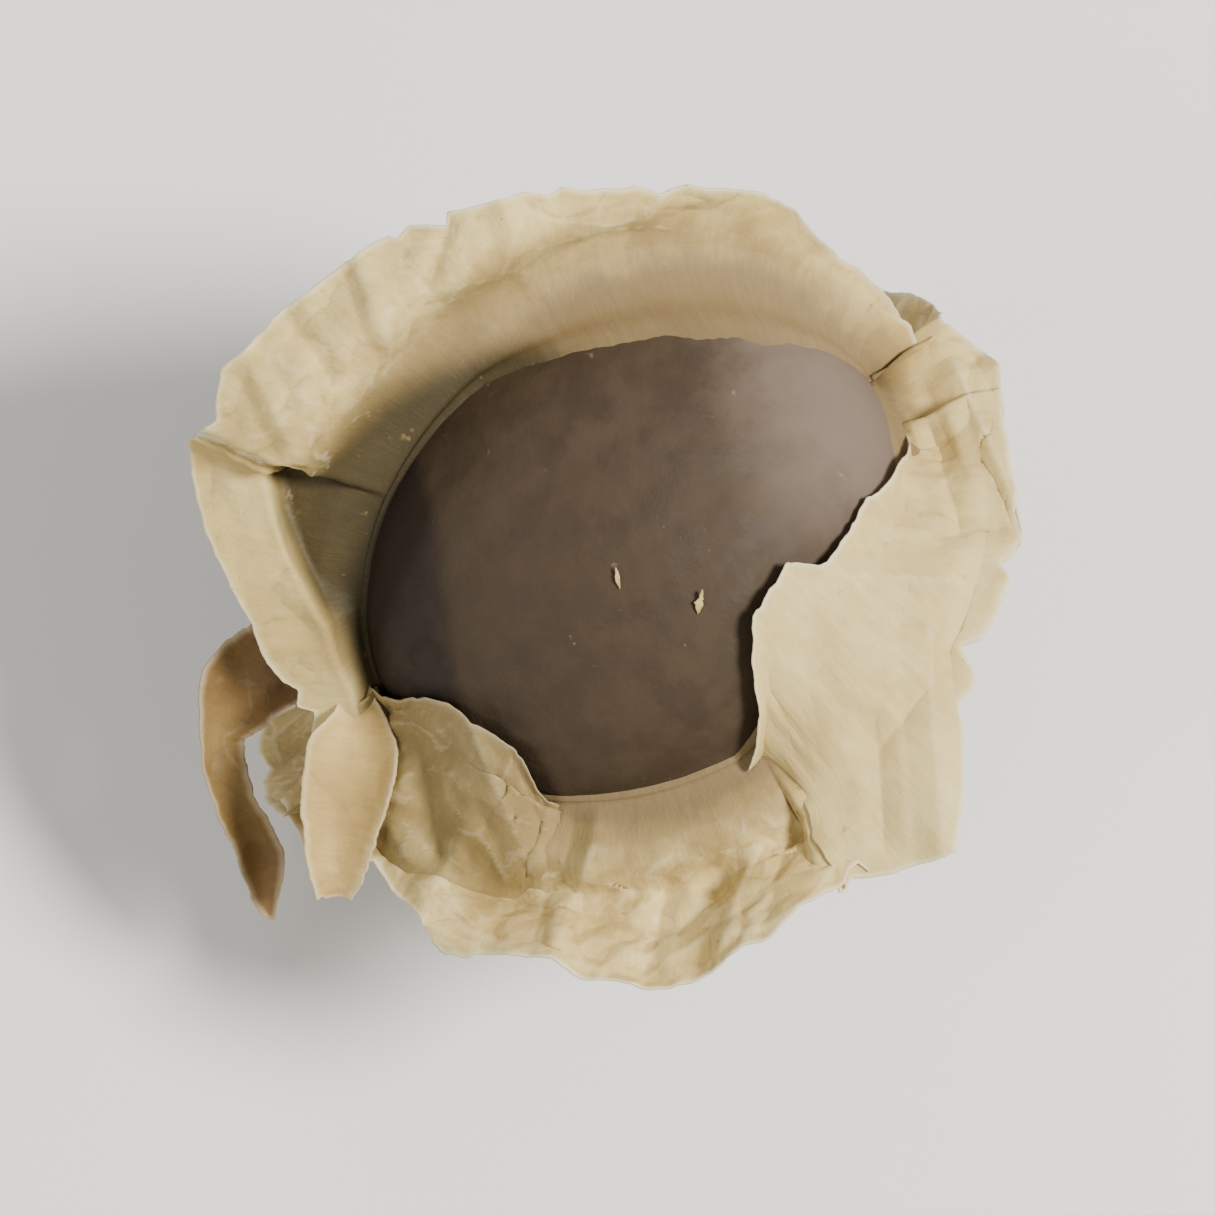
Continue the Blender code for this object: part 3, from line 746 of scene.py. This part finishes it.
def meetPlace(meets, corner):
    # where a flap meets the wings, at a place counted in corners of its edge
    low = min(int(corner), len(meets) - 2)
    share = corner - low
    wing, angle, reach = meets[low]
    nextWing, nextAngle, nextReach = meets[low + 1]
    if wing == nextWing:
        angle = angle + share * (nextAngle - angle)
        return wingPlace(wing, angle, reach + share * (nextReach - reach))
    here = wingPlace(wing, angle, reach)
    return here + share * (wingPlace(nextWing, nextAngle, nextReach) - here)


def outerPly(wanted, meeting):
    # skin that lies on the right wing's upper side, from the meeting line to the rim
    *grids, angles = wingGrids["right"]
    rows = flapShared["plyRows"]
    ply = np.empty((len(wanted), rows, 3))
    for number, angle in enumerate(wanted):
        after = np.clip(np.searchsorted(angles, angle), 1, len(angles) - 1)
        part = (angle - angles[after - 1]) / (angles[after] - angles[after - 1])
        line, away, run = (grid[after - 1] * (1.0 - part) + grid[after] * part for grid in grids)
        line = line - flapShared["plyLift"] * unit(away)
        ply[number] = alongLine(np.linspace(meeting, run[-1] - 0.02 * mm, rows), run, line)
    return ply


def flapSurface(form):
    # the smooth flap on a grid, from its free edge to the meeting line, or on to the rim; with
    # it how far each point lies along the edge and in from it, and the edge's angles
    seed = form["seed"]
    corners = np.arange(len(form["edge"]))
    edge = np.array(form["edge"], float)
    length = runAlong(onSeed(edge[:, 0], edge[:, 1]))
    count = int(length[-1] / flapShared["columnGap"])
    travelled = np.linspace(0.0, length[-1], count)
    corner = np.interp(travelled, length, corners)
    ragged = form["edgeStep"] * jagged(travelled / (0.45 * mm), seed)
    angle = np.interp(corner, corners, edge[:, 0])
    azimuth = np.interp(corner, corners, edge[:, 1]) + ragged
    if form["onward"]:
        wanted = np.interp(corner, corners, [meet[1] for meet in form["meets"]])
        ply = outerPly(wanted, form["meets"][0][2] * mm)
        target = ply[:, 0]
    else:
        angle = angle + ragged
        target = np.array([meetPlace(form["meets"], spot) for spot in corner])
    start = onSeed(angle, azimuth, flapShared["edgeLift"])
    outward = unit(start - seedMiddle)
    chord = target - start
    heading = unit(chord - np.sum(chord * outward, axis=1, keepdims=True) * outward)
    control = start + 0.5 * np.linalg.norm(chord, axis=1, keepdims=True) * heading
    t = (np.linspace(0.0, 1.0, flapShared["rows"]) ** 1.2)[None, :, None]
    puff = table(form["puff"], angle)[:, None, None] * mm
    surface = bentBetween(start, control, target, t)
    surface = surface + puff * np.sin(np.pi * t ** 2) * outward[:, None]
    if form["onward"]:
        surface = np.concatenate((surface, ply[:, 1:]), axis=1)
    travel = np.array([runAlong(line) for line in surface])
    bend = 0.8 + 0.5 * softNoise(travelled / (1.9 * mm), 0.0 * travelled, seed + 4)[:, None]
    bend = bend * smoothStep(travelled / (1.2 * mm))[:, None]
    nearEdge = np.clip(1.0 - travel / flapShared["curlReach"], 0.0, 1.0) ** 2
    surface = keepOff(surface, form["lift"] + form["curlUp"] * bend * nearEdge)
    return surface, np.repeat(travelled[:, None], travel.shape[1], axis=1), travel, angle


def buildFlap(name, form):
    seed = form["seed"]
    surface, u, travel, angle = flapSurface(form)
    # past the meeting line the flap lies on the wing, which has its own crumples and folds
    meeting = travel[:, flapShared["rows"] - 1, None]
    fade = smoothStep((meeting - travel) / flapShared["calmRun"])
    size = table(form["crumple"], angle)[:, None] * mm * fade
    size = size * (0.25 + 0.75 * smoothStep(travel / (0.8 * mm)))
    crumple = crumpleHeight(u, travel, size, seed)
    normal = gridNormals(surface, [])
    column = len(surface) // 2
    towards = np.sign(np.dot(normal[column, 5], surface[column, 5] - seedMiddle))
    surface = surface + (towards * (crumple + 0.35 * size))[..., None] * normal
    folded, lines = foldSheet(surface, gridNormals(surface, []), form["folds"])
    surface = surface + fade[..., None] * (folded - surface)
    surface = keepOff(surface, flapShared["hullGap"])
    inset = np.minimum(travel, travel[:, -1:] - travel) if form["onward"] else travel
    half = flapShared["halfThickness"] * (0.35 + 0.65 * smoothStep(inset / (0.25 * mm)))
    values = {
        "foot": form["footShift"] + travel / (6.0 * mm),
        "creviceShade": np.full_like(travel, -1.0),
        "rim": inset / mm,
        "crease": creaseLines(u, travel, size, seed) + lines,
    }
    across = np.stack((u / mm, travel / mm + 11.0), axis=-1)
    return thickSheet(name + "_flap", surface, towards * half, values, across)


print("building the flaps")
flapPieces = {flapName: buildFlap(flapName, form) for flapName, form in flapForms.items()}

# Curled tips: each is a narrow sheet along a bent line. Paths are in millimetres from the
# hull's middle and widths in millimetres; roll turns the sheet about its line in degrees,
# bow arches it from side to side, and foot says how dark it is (0 for the darkest).
tipShared = {
    "columns": 110,
    "rows": 34,
    "halfThickness": 0.05 * mm,
    "ragged": 0.07,              # how uneven its long edges are, in millimetres
    "torn": 0.14 * mm,           # and its free end
    "creaseShift": 5.0 * mm,     # its crumples are taken from this far along the pattern
}
tipForms = {
    "inner": {
        "path": [(-6.12, -3.05, 0.12), (-6.13, -3.93, 0.04), (-6.22, -4.92, -0.08),
                 (-6.42, -6.00, -0.45), (-6.60, -6.92, -0.88), (-6.68, -7.60, -1.45)],
        "halfWidth": [(0.0, 0.25), (0.16, 0.55), (0.28, 0.92), (0.38, 1.05), (0.52, 0.98),
                      (0.70, 0.78), (0.88, 0.58), (1.0, 0.40)],
        "roll": [(0.0, 4.0), (0.5, -8.0), (1.0, 14.0)],
        "foot": [(0.0, 0.8), (0.3, 1.2), (0.8, 1.0), (1.0, 0.6)],
        "bow": 0.42,
        "crumple": 0.12,
        "seed": 611,
    },
    "outer": {
        "path": [(-6.95, -1.95, 0.75), (-7.75, -2.45, -0.2), (-8.75, -2.95, -1.0),
                 (-9.33, -3.95, -1.7), (-9.06, -5.21, -2.3), (-8.46, -6.36, -3.0),
                 (-8.16, -7.60, -3.5)],
        "halfWidth": [(0.0, 0.85), (0.2, 1.05), (0.34, 0.95), (0.48, 0.60), (0.65, 0.50),
                      (0.85, 0.52), (0.95, 0.30), (1.0, 0.10)],
        "roll": [(0.0, 0.0), (0.3, 14.0), (0.5, 40.0), (0.75, 22.0), (1.0, -10.0)],
        "foot": [(0.0, 0.05), (0.2, 0.12), (0.34, 0.35), (0.48, 0.75), (1.0, 0.70)],
        "bow": 0.50,
        "crumple": 0.14,
        "seed": 622,
    },
}


def smoothLine(points, share):
    # a bent line through the points, without corners
    points = np.array(points)
    before = 2 * points[:1] - points[1:2]
    after = 2 * points[-1:] - points[-2:-1]
    padded = np.concatenate((before, points, after))
    place = share * (len(points) - 1)
    low = np.minimum(place.astype(int), len(points) - 2)
    t = (place - low)[:, None]
    a, b, c, d = (padded[low + shift] for shift in range(4))
    line = 2 * b + (c - a) * t + (2 * a - 5 * b + 4 * c - d) * t ** 2
    return 0.5 * (line + (3 * b - a - 3 * c + d) * t ** 3)


def buildTip(name, form):
    seed = form["seed"]
    share = np.linspace(0.0, 1.0, tipShared["columns"])
    line = smoothLine(form["path"], share) * mm + seedMiddle
    along = unit(np.gradient(line, axis=0))
    flat = unit(np.cross(along, (0.0, 0.0, 1.0)))
    roll = np.radians(table(form["roll"], share))[:, None]
    sideways = np.cos(roll) * flat + np.sin(roll) * np.cross(flat, along)
    face = np.cross(sideways, along)
    run = runAlong(line)
    place = np.linspace(-1.0, 1.0, tipShared["rows"])[None, :]
    width = table(form["halfWidth"], share)
    left, right = (width + tipShared["ragged"] * jagged(run / (0.30 * mm), seed + shift)
                   for shift in (0, 9))
    u = place * np.maximum(np.where(place < 0.0, left[:, None], right[:, None]), 0.015) * mm
    v = np.repeat(run[:, None], place.shape[1], axis=1)
    pattern = (u + tipShared["creaseShift"], 0.7 * v, form["crumple"] * mm, seed)
    height = form["bow"] * mm * width[:, None] * place ** 2 + crumpleHeight(*pattern)
    surface = line[:, None] + u[..., None] * sideways[:, None] + height[..., None] * face[:, None]
    torn = tipShared["torn"] * jagged(u / (0.3 * mm), seed + 20)
    torn = torn * smoothStep(5.0 * share - 4.0)[:, None]
    surface = surface + torn[..., None] * along[:, None]
    inset = np.minimum(width[:, None] * mm * (1.0 - np.abs(place)), run[-1] - v)
    half = tipShared["halfThickness"] * (0.4 + 0.6 * smoothStep(inset / (0.2 * mm)))
    values = {
        "foot": 0.0 * u + table(form["foot"], share)[:, None],
        "creviceShade": np.full_like(u, -1.0),
        "rim": inset / mm,
        "crease": creaseLines(*pattern),
    }
    across = np.stack((v, u), axis=-1) / mm + 23.0
    return thickSheet(name + "_tip", surface, half, values, across)


print("building the curled tips")
tipPieces = {tipName: buildTip(tipName, form) for tipName, form in tipForms.items()}

# Shreds of skin that cling to the hull: angle, azimuth, how far they turn from the line to
# the beak, all in degrees, then length, width and how far the ends stand up, in millimetres
shredShared = {
    "columns": 15,
    "rows": 7,
    "halfThickness": 0.012 * mm,
    "sunk": 0.03 * mm,
}
shredForms = [
    (96.0, 3.0, 66.0, 0.42, 0.12, 0.03),
    (86.0, 18.0, 48.0, 0.50, 0.24, 0.06),
]


def buildShred(number, form):
    angle, azimuth, turn, length, width, rise = form
    base = onSeed(angle, azimuth)
    up = unit(base - seedMiddle)
    ahead = unit(onSeed(angle - 1.0, azimuth) - base)
    side = unit(np.cross(up, ahead))
    heading = math.cos(math.radians(turn)) * ahead + math.sin(math.radians(turn)) * side
    sideways = np.cross(up, heading)
    share, place = np.meshgrid(np.linspace(-1.0, 1.0, shredShared["columns"]),
                               np.linspace(-1.0, 1.0, shredShared["rows"]), indexing="ij")
    ragged = 0.75 + 0.6 * jagged(share * 2.6 + number + 3.0 * np.sign(place), 700 + number)
    taper = np.maximum(1.0 - np.abs(share) ** 1.6, 0.10) * np.maximum(ragged, 0.25)
    surface = base + (0.5 * length * mm * (share - 0.12 * place))[..., None] * heading
    surface = surface + (0.5 * width * mm * place * taper)[..., None] * sideways
    lift = 0.015 + rise * np.where(share < 0.0, 0.3, 1.0) * share ** 2
    lift = lift + 0.10 * width * place * share
    surface = keepOff(surface, -shredShared["sunk"]) + (lift * mm)[..., None] * up
    half = np.full_like(share, shredShared["halfThickness"])
    across = np.stack((share * length, place * width), axis=-1) + 31.0
    values = {label: np.full_like(share, value) for label, value in
              (("foot", 0.9), ("creviceShade", -1.0), ("rim", 0.2), ("crease", 0.0))}
    return thickSheet("shred_" + str(number), surface, half, values, across)


print("building the shreds")
shredPieces = [buildShred(number, form) for number, form in enumerate(shredForms)]


def feed(tree, socket, value):
    # a socket takes a number, a colour or what another node puts out
    if isinstance(value, (int, float)):
        socket.default_value = value
    elif isinstance(value, tuple):
        socket.default_value = (*value, 1.0)
    else:
        tree.links.new(value, socket)


def mathNode(tree, operation, first, second):
    node = tree.nodes.new("ShaderNodeMath")
    node.operation = operation
    feed(tree, node.inputs[0], first)
    feed(tree, node.inputs[1], second)
    return node.outputs[0]


def times(tree, first, second):
    return mathNode(tree, "MULTIPLY", first, second)


def plus(tree, first, second):
    return mathNode(tree, "ADD", first, second)


def rangeNode(tree, value, low, high, toLow=0.0, toHigh=1.0):
    node = tree.nodes.new("ShaderNodeMapRange")
    node.interpolation_type = "SMOOTHSTEP"
    for label, number in (("Value", value), ("From Min", low), ("From Max", high),
                          ("To Min", toLow), ("To Max", toHigh)):
        feed(tree, node.inputs[label], number)
    return node.outputs["Result"]


def noiseNode(tree, vector, scale, detail, roughness):
    node = tree.nodes.new("ShaderNodeTexNoise")
    for label, value in (("Vector", vector), ("Scale", scale), ("Detail", detail),
                         ("Roughness", roughness)):
        feed(tree, node.inputs[label], value)
    return node.outputs["Fac"]


def mixColour(tree, factor, first, second, blend="MIX"):
    node = tree.nodes.new("ShaderNodeMix")
    node.data_type = "RGBA"
    node.blend_type = blend
    for number, value in ((0, factor), (6, first), (7, second)):
        feed(tree, node.inputs[number], value)
    return node.outputs[2]


# Shader groups that more than one finish uses. Each takes a vector and some numbers.
def newGroup(name, settings, results):
    group = bpy.data.node_groups.new(name, "ShaderNodeTree")
    group.interface.new_socket("Vector", in_out="INPUT", socket_type="NodeSocketVector")
    for label, value in settings.items():
        socket = group.interface.new_socket(label, in_out="INPUT", socket_type="NodeSocketFloat")
        socket.default_value = value
    for label in results:
        group.interface.new_socket(label, in_out="OUTPUT", socket_type="NodeSocketFloat")
    start = group.nodes.new("NodeGroupInput")
    end = group.nodes.new("NodeGroupOutput")
    return group, start.outputs, end.inputs


def buildMottleGroup():
    # soft uneven patches: 0 in the gaps, 1 in the patches
    group, start, end = newGroup("mottle", {"Scale": 300.0, "Low": 0.45, "High": 0.65}, ["Mask"])
    value = noiseNode(group, start["Vector"], start["Scale"], 5.0, 0.6)
    feed(group, end["Mask"], rangeNode(group, value, start["Low"], start["High"]))
    return group


def buildFibreGroup():
    # fine fibres that run out across the sheet, from its flat coordinates in millimetres
    group, start, end = newGroup("paper fibres", {"Density": 6.0}, ["Streaks", "Height"])
    stretch = group.nodes.new("ShaderNodeVectorMath")
    stretch.operation = "MULTIPLY"
    stretch.inputs[1].default_value = (1.0, 0.13, 1.0)
    feed(group, stretch.inputs[0], start["Vector"])
    wide = noiseNode(group, stretch.outputs[0], start["Density"], 3.0, 0.6)
    fine = noiseNode(group, stretch.outputs[0], times(group, start["Density"], 3.1), 4.0, 0.65)
    streaks = plus(group, times(group, wide, 0.55), times(group, fine, 0.45))
    pulp = noiseNode(group, start["Vector"], 9.0, 6.0, 0.7)
    height = plus(group, times(group, streaks, 0.7), times(group, pulp, 0.5))
    feed(group, end["Streaks"], rangeNode(group, streaks, 0.36, 0.64))
    feed(group, end["Height"], height)
    return group


mottleGroup = buildMottleGroup()
fibreGroup = buildFibreGroup()


def placeGroup(tree, group, vector, **settings):
    node = tree.nodes.new("ShaderNodeGroup")
    node.node_tree = group
    for label, value in {"Vector": vector, **settings}.items():
        feed(tree, node.inputs[label], value)
    return node.outputs


def mottle(tree, vector, scale, low, high):
    return placeGroup(tree, mottleGroup, vector, Scale=scale, Low=low, High=high)["Mask"]


def readValue(tree, name):
    node = tree.nodes.new("ShaderNodeAttribute")
    node.attribute_name = name
    return node.outputs["Fac"]


def newMaterial(name):
    material = bpy.data.materials.new(name)
    material.use_nodes = True
    return material, material.node_tree, material.node_tree.nodes["Principled BSDF"]


def setSurface(tree, shader, colour, rough, height, look):
    # what every finish of the seed has: a colour, a roughness and a fine relief
    bump = tree.nodes.new("ShaderNodeBump")
    feed(tree, bump.inputs["Strength"], look["bump"])
    feed(tree, bump.inputs["Distance"], 0.05 * mm)
    feed(tree, bump.inputs["Height"], height)
    for label, value in (("Base Color", colour), ("Roughness", rough),
                         ("Normal", bump.outputs["Normal"]), ("Specular IOR Level", look["sheen"])):
        feed(tree, shader.inputs[label], value)


def paperMaterial(name, look):
    material, tree, shader = newMaterial(name)
    flat = tree.nodes.new("ShaderNodeUVMap")
    flat.uv_map = "sheet"
    place = tree.nodes.new("ShaderNodeTexCoord").outputs["Object"]
    fibres = placeGroup(tree, fibreGroup, flat.outputs["UV"], Density=look["fibreDensity"])
    blotchLow = look["blotchLow"]
    blotches = mottle(tree, place, look["blotchScale"], blotchLow, blotchLow + 0.16)
    specks = mottle(tree, place, look["speckScale"], 0.66, 0.74)
    clouds = mottle(tree, place, look["cloudScale"], 0.35, 0.65)
    cloudy = times(tree, clouds, 0.30)
    uneven = plus(tree, readValue(tree, "foot"), cloudy)
    # painted shade in the crevice by the hull
    creviceShading = plus(tree, readValue(tree, "creviceShade"), cloudy)
    crease = readValue(tree, "crease")
    colour = mixColour(tree, clouds, look["cream"], look["pale"])
    # each layer is a mask and the colour that it lays over the ones before
    layers = (
        (times(tree, blotches, look["blotchShare"]), "blotch"),
        # the foot colour by the seam, painted shade where it reaches far out
        (rangeNode(tree, uneven, 0.45, 1.20, look["footShare"], 0.0), "foot"),
        (rangeNode(tree, uneven, 0.12, 0.52, look["footShare"], 0.0), "inner"),
        (rangeNode(tree, creviceShading, 0.0, 1.5, 0.0, 0.9), "creviceShade"),
        (times(tree, fibres["Streaks"], look["fibreShare"]), "fibre"),
        # crumple ridges and raised folds get a painted highlight, partly wear
        (rangeNode(tree, crease, 0.25, 0.9, 0.0, look["wearAndHighlightShare"]), "rim"),
        # crease valleys and sunk folds get painted shade in the foot colour
        (rangeNode(tree, crease, -0.9, -0.15, 0.34, 0.0), "foot"),
        # the thin rims are paler, partly as a painted highlight along the edges
        (rangeNode(tree, readValue(tree, "rim"), 0.0, 0.16, look["rimHighlightShare"], 0.0), "rim"),
        (times(tree, specks, 0.55), "speck"),
    )
    for mask, layer in layers:
        blend = "MULTIPLY" if layer == "fibre" else "MIX"
        colour = mixColour(tree, mask, colour, look[layer], blend)
    rough = rangeNode(tree, fibres["Height"], 0.4, 0.8, 0.50, 0.72)
    setSurface(tree, shader, colour, rough, fibres["Height"], look)
    shader.inputs["Subsurface Weight"].default_value = look["through"]
    shader.inputs["Subsurface Radius"].default_value = (1.0, 0.72, 0.42)
    shader.inputs["Subsurface Scale"].default_value = 0.5 * mm
    return material


creamLook = {
    "cream": (0.56, 0.41, 0.148),
    "pale": (0.65, 0.515, 0.222),
    "blotch": (0.46, 0.34, 0.12),
    "foot": (0.26, 0.185, 0.076),
    "inner": (0.185, 0.130, 0.063),
    # the colour of the painted crevice shade
    "creviceShade": (0.028, 0.022, 0.007),
    "fibre": (0.82, 0.76, 0.60),
    # the pale rim colour, also used for the painted highlight on rims and ridges
    "rim": (0.74, 0.65, 0.44),
    "speck": (0.24, 0.15, 0.06),
    "fibreDensity": 5.5,
    "blotchScale": 210.0,
    "speckScale": 2600.0,
    "cloudScale": 520.0,
    "blotchLow": 0.56,
    "blotchShare": 0.40,
    "footShare": 0.88,
    "fibreShare": 0.45,
    # how strong the painted highlight on the ridges is, partly wear
    "wearAndHighlightShare": 0.20,
    "rimHighlightShare": 0.70,
    "bump": 0.6,
    "sheen": 0.25,
    "through": 0.08,             # how much light passes into the skin
}
flapLook = {**creamLook, "cream": (0.54, 0.405, 0.166), "pale": (0.63, 0.505, 0.228),
            "blotchShare": 0.12}
tailLook = {**creamLook, "cream": (0.24, 0.17, 0.055), "pale": (0.35, 0.27, 0.11),
            "blotch": (0.26, 0.18, 0.055), "blotchShare": 0.6, "wearAndHighlightShare": 0.12,
            "rimHighlightShare": 0.25}
innerTipLook = {**creamLook, "cream": (0.44, 0.30, 0.10), "pale": (0.53, 0.38, 0.135),
                "foot": (0.32, 0.19, 0.065), "blotch": (0.36, 0.22, 0.07), "blotchShare": 0.5,
                "blotchLow": 0.50, "wearAndHighlightShare": 0.06, "rimHighlightShare": 0.35}
outerTipLook = {**innerTipLook, "cream": (0.19, 0.122, 0.041), "pale": (0.25, 0.168, 0.058),
                "blotch": (0.19, 0.11, 0.036), "foot": (0.16, 0.092, 0.030),
                "inner": (0.09, 0.045, 0.015), "rimHighlightShare": 0.3}
hullLook = {
    "dark": (0.039, 0.0255, 0.0158),
    "brown": (0.052, 0.0340, 0.0205),
    "olive": (0.056, 0.040, 0.0205),
    # a greyish film with a painted sheen on it
    "filmAndSheen": (0.158, 0.119, 0.092),
    # the colour of the painted shade on the hull's left side
    "paintedShade": (0.018, 0.011, 0.008),
    "fleck": (0.24, 0.20, 0.14),
    "patchScale": 1150.0,
    "slowScale": 170.0,
    "fleckScale": 1900.0,
    "grainScale": 2400.0,
    "bump": 0.55,
    "sheen": 0.20,
}


def hullMaterial(look):
    material, tree, shader = newMaterial("hull skin")
    place = tree.nodes.new("ShaderNodeTexCoord").outputs["Object"]
    patches = mottle(tree, place, look["patchScale"], 0.36, 0.64)
    slow = mottle(tree, place, look["slowScale"], 0.36, 0.66)
    flecks = mottle(tree, place, look["fleckScale"], 0.68, 0.76)
    # the film and its painted sheen, near the beak
    near = plus(tree, readValue(tree, "filmAndSheen"), times(tree, slow, 0.08))
    near = plus(tree, near, times(tree, patches, 0.04))
    # painted shade over the hull's left side, broken up by the patches
    shade = plus(tree, readValue(tree, "paintedShade"), times(tree, slow, 0.5))
    shade = plus(tree, shade, times(tree, patches, 0.3))
    colour = mixColour(tree, patches, look["dark"], look["brown"])
    layers = (
        (times(tree, slow, 0.40), "olive"),
        (times(tree, rangeNode(tree, near, 0.38, 0.84), 0.85), "filmAndSheen"),
        (times(tree, flecks, 0.45), "fleck"),
        (rangeNode(tree, shade, -0.35, 1.25, 0.0, 0.88), "paintedShade"),
    )
    for mask, layer in layers:
        colour = mixColour(tree, mask, colour, look[layer])
    rough = rangeNode(tree, patches, 0.0, 1.0, 0.58, 0.72)
    grain = noiseNode(tree, place, look["grainScale"], 6.0, 0.65)
    setSurface(tree, shader, colour, rough, grain, look)
    return material


def dress(piece, material, slot):
    piece.data.materials.append(material)
    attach(piece, "root")
    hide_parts(slot)


print("finishing the surfaces")
creamPaper = paperMaterial("cream paper", creamLook)
for piece in (*wingPieces.values(), *shredPieces):
    dress(piece, creamPaper, "wings")
dress(flapPieces["side"], paperMaterial("flap paper", flapLook), "wings")
dress(flapPieces["tail"], paperMaterial("tail paper", tailLook), "wings")
dress(tipPieces["inner"], paperMaterial("inner tip paper", innerTipLook), "wings")
dress(tipPieces["outer"], paperMaterial("outer tip paper", outerTipLook), "wings")
dress(hullSkin, hullMaterial(hullLook), "hull")

# The floor, the lights and the camera
stageSetup = {
    "floorSize": 1.2,
    "floorColour": (0.78, 0.77, 0.75),
    "skyColour": (0.98, 0.98, 0.97),
    "skyStrength": 0.38,
    "lens": 200.0,
    "frameWidth": 27.0 * mm,     # what the frame spans at the seed's middle
    "aimShift": (-0.6 * mm, -1.3 * mm, 0.0),
    "elevation": 76.0,           # the photograph looks straight at the upper face
}
lights = {
    "key": {"place": (0.15, -0.02, 0.195), "size": 0.07, "power": 1.30, "colour": (1.0, 0.97, 0.92)},
    "fill": {"place": (-0.18, -0.10, 0.16), "size": 0.16, "power": 0.28, "colour": (1.0, 0.99, 0.97)},
    "back": {"place": (-0.05, 0.22, 0.12), "size": 0.12, "power": 0.12, "colour": (1.0, 1.0, 1.0)},
}


def aimAt(item, target):
    direction = target - np.array(item.location)
    flat = math.hypot(direction[0], direction[1])
    item.rotation_euler = (math.atan2(flat, -direction[2]), 0.0,
                           math.atan2(-direction[0], direction[1]))


def buildStage():
    half = 0.5 * stageSetup["floorSize"]
    mesh = bpy.data.meshes.new("floor")
    mesh.from_pydata([(-half, -half, 0), (half, -half, 0), (half, half, 0), (-half, half, 0)],
                     [], [(0, 1, 2, 3)])
    floor = newPiece("floor", mesh)
    material, tree, shader = newMaterial("floor")
    feed(tree, shader.inputs["Base Color"], stageSetup["floorColour"])
    feed(tree, shader.inputs["Roughness"], 0.9)
    mesh.materials.append(material)
    world = bpy.data.worlds.new("studio")
    world.use_nodes = True
    sky = world.node_tree.nodes["Background"]
    sky.inputs["Color"].default_value = (*stageSetup["skyColour"], 1.0)
    sky.inputs["Strength"].default_value = stageSetup["skyStrength"]
    bpy.context.scene.world = world
    for name, setup in lights.items():
        lamp = bpy.data.lights.new(name, "AREA")
        lamp.shape = "DISK"
        lamp.size = setup["size"]
        lamp.energy = setup["power"]
        lamp.color = setup["colour"]
        item = newPiece(name, lamp)
        item.location = setup["place"]
        aimAt(item, seedMiddle)


def buildCamera():
    data = bpy.data.cameras.new("camera")
    data.lens = stageSetup["lens"]
    data.sensor_width = 36.0
    data.sensor_fit = "HORIZONTAL"
    data.clip_start = 0.01
    distance = stageSetup["frameWidth"] / data.sensor_width * data.lens
    rise = math.radians(stageSetup["elevation"])
    target = seedMiddle + np.array(stageSetup["aimShift"])
    camera = newPiece("camera", data)
    camera.location = target + distance * np.array((0.0, -math.cos(rise), math.sin(rise)))
    aimAt(camera, target)
    bpy.context.scene.camera = camera


print("setting the stage")
buildStage()
buildCamera()
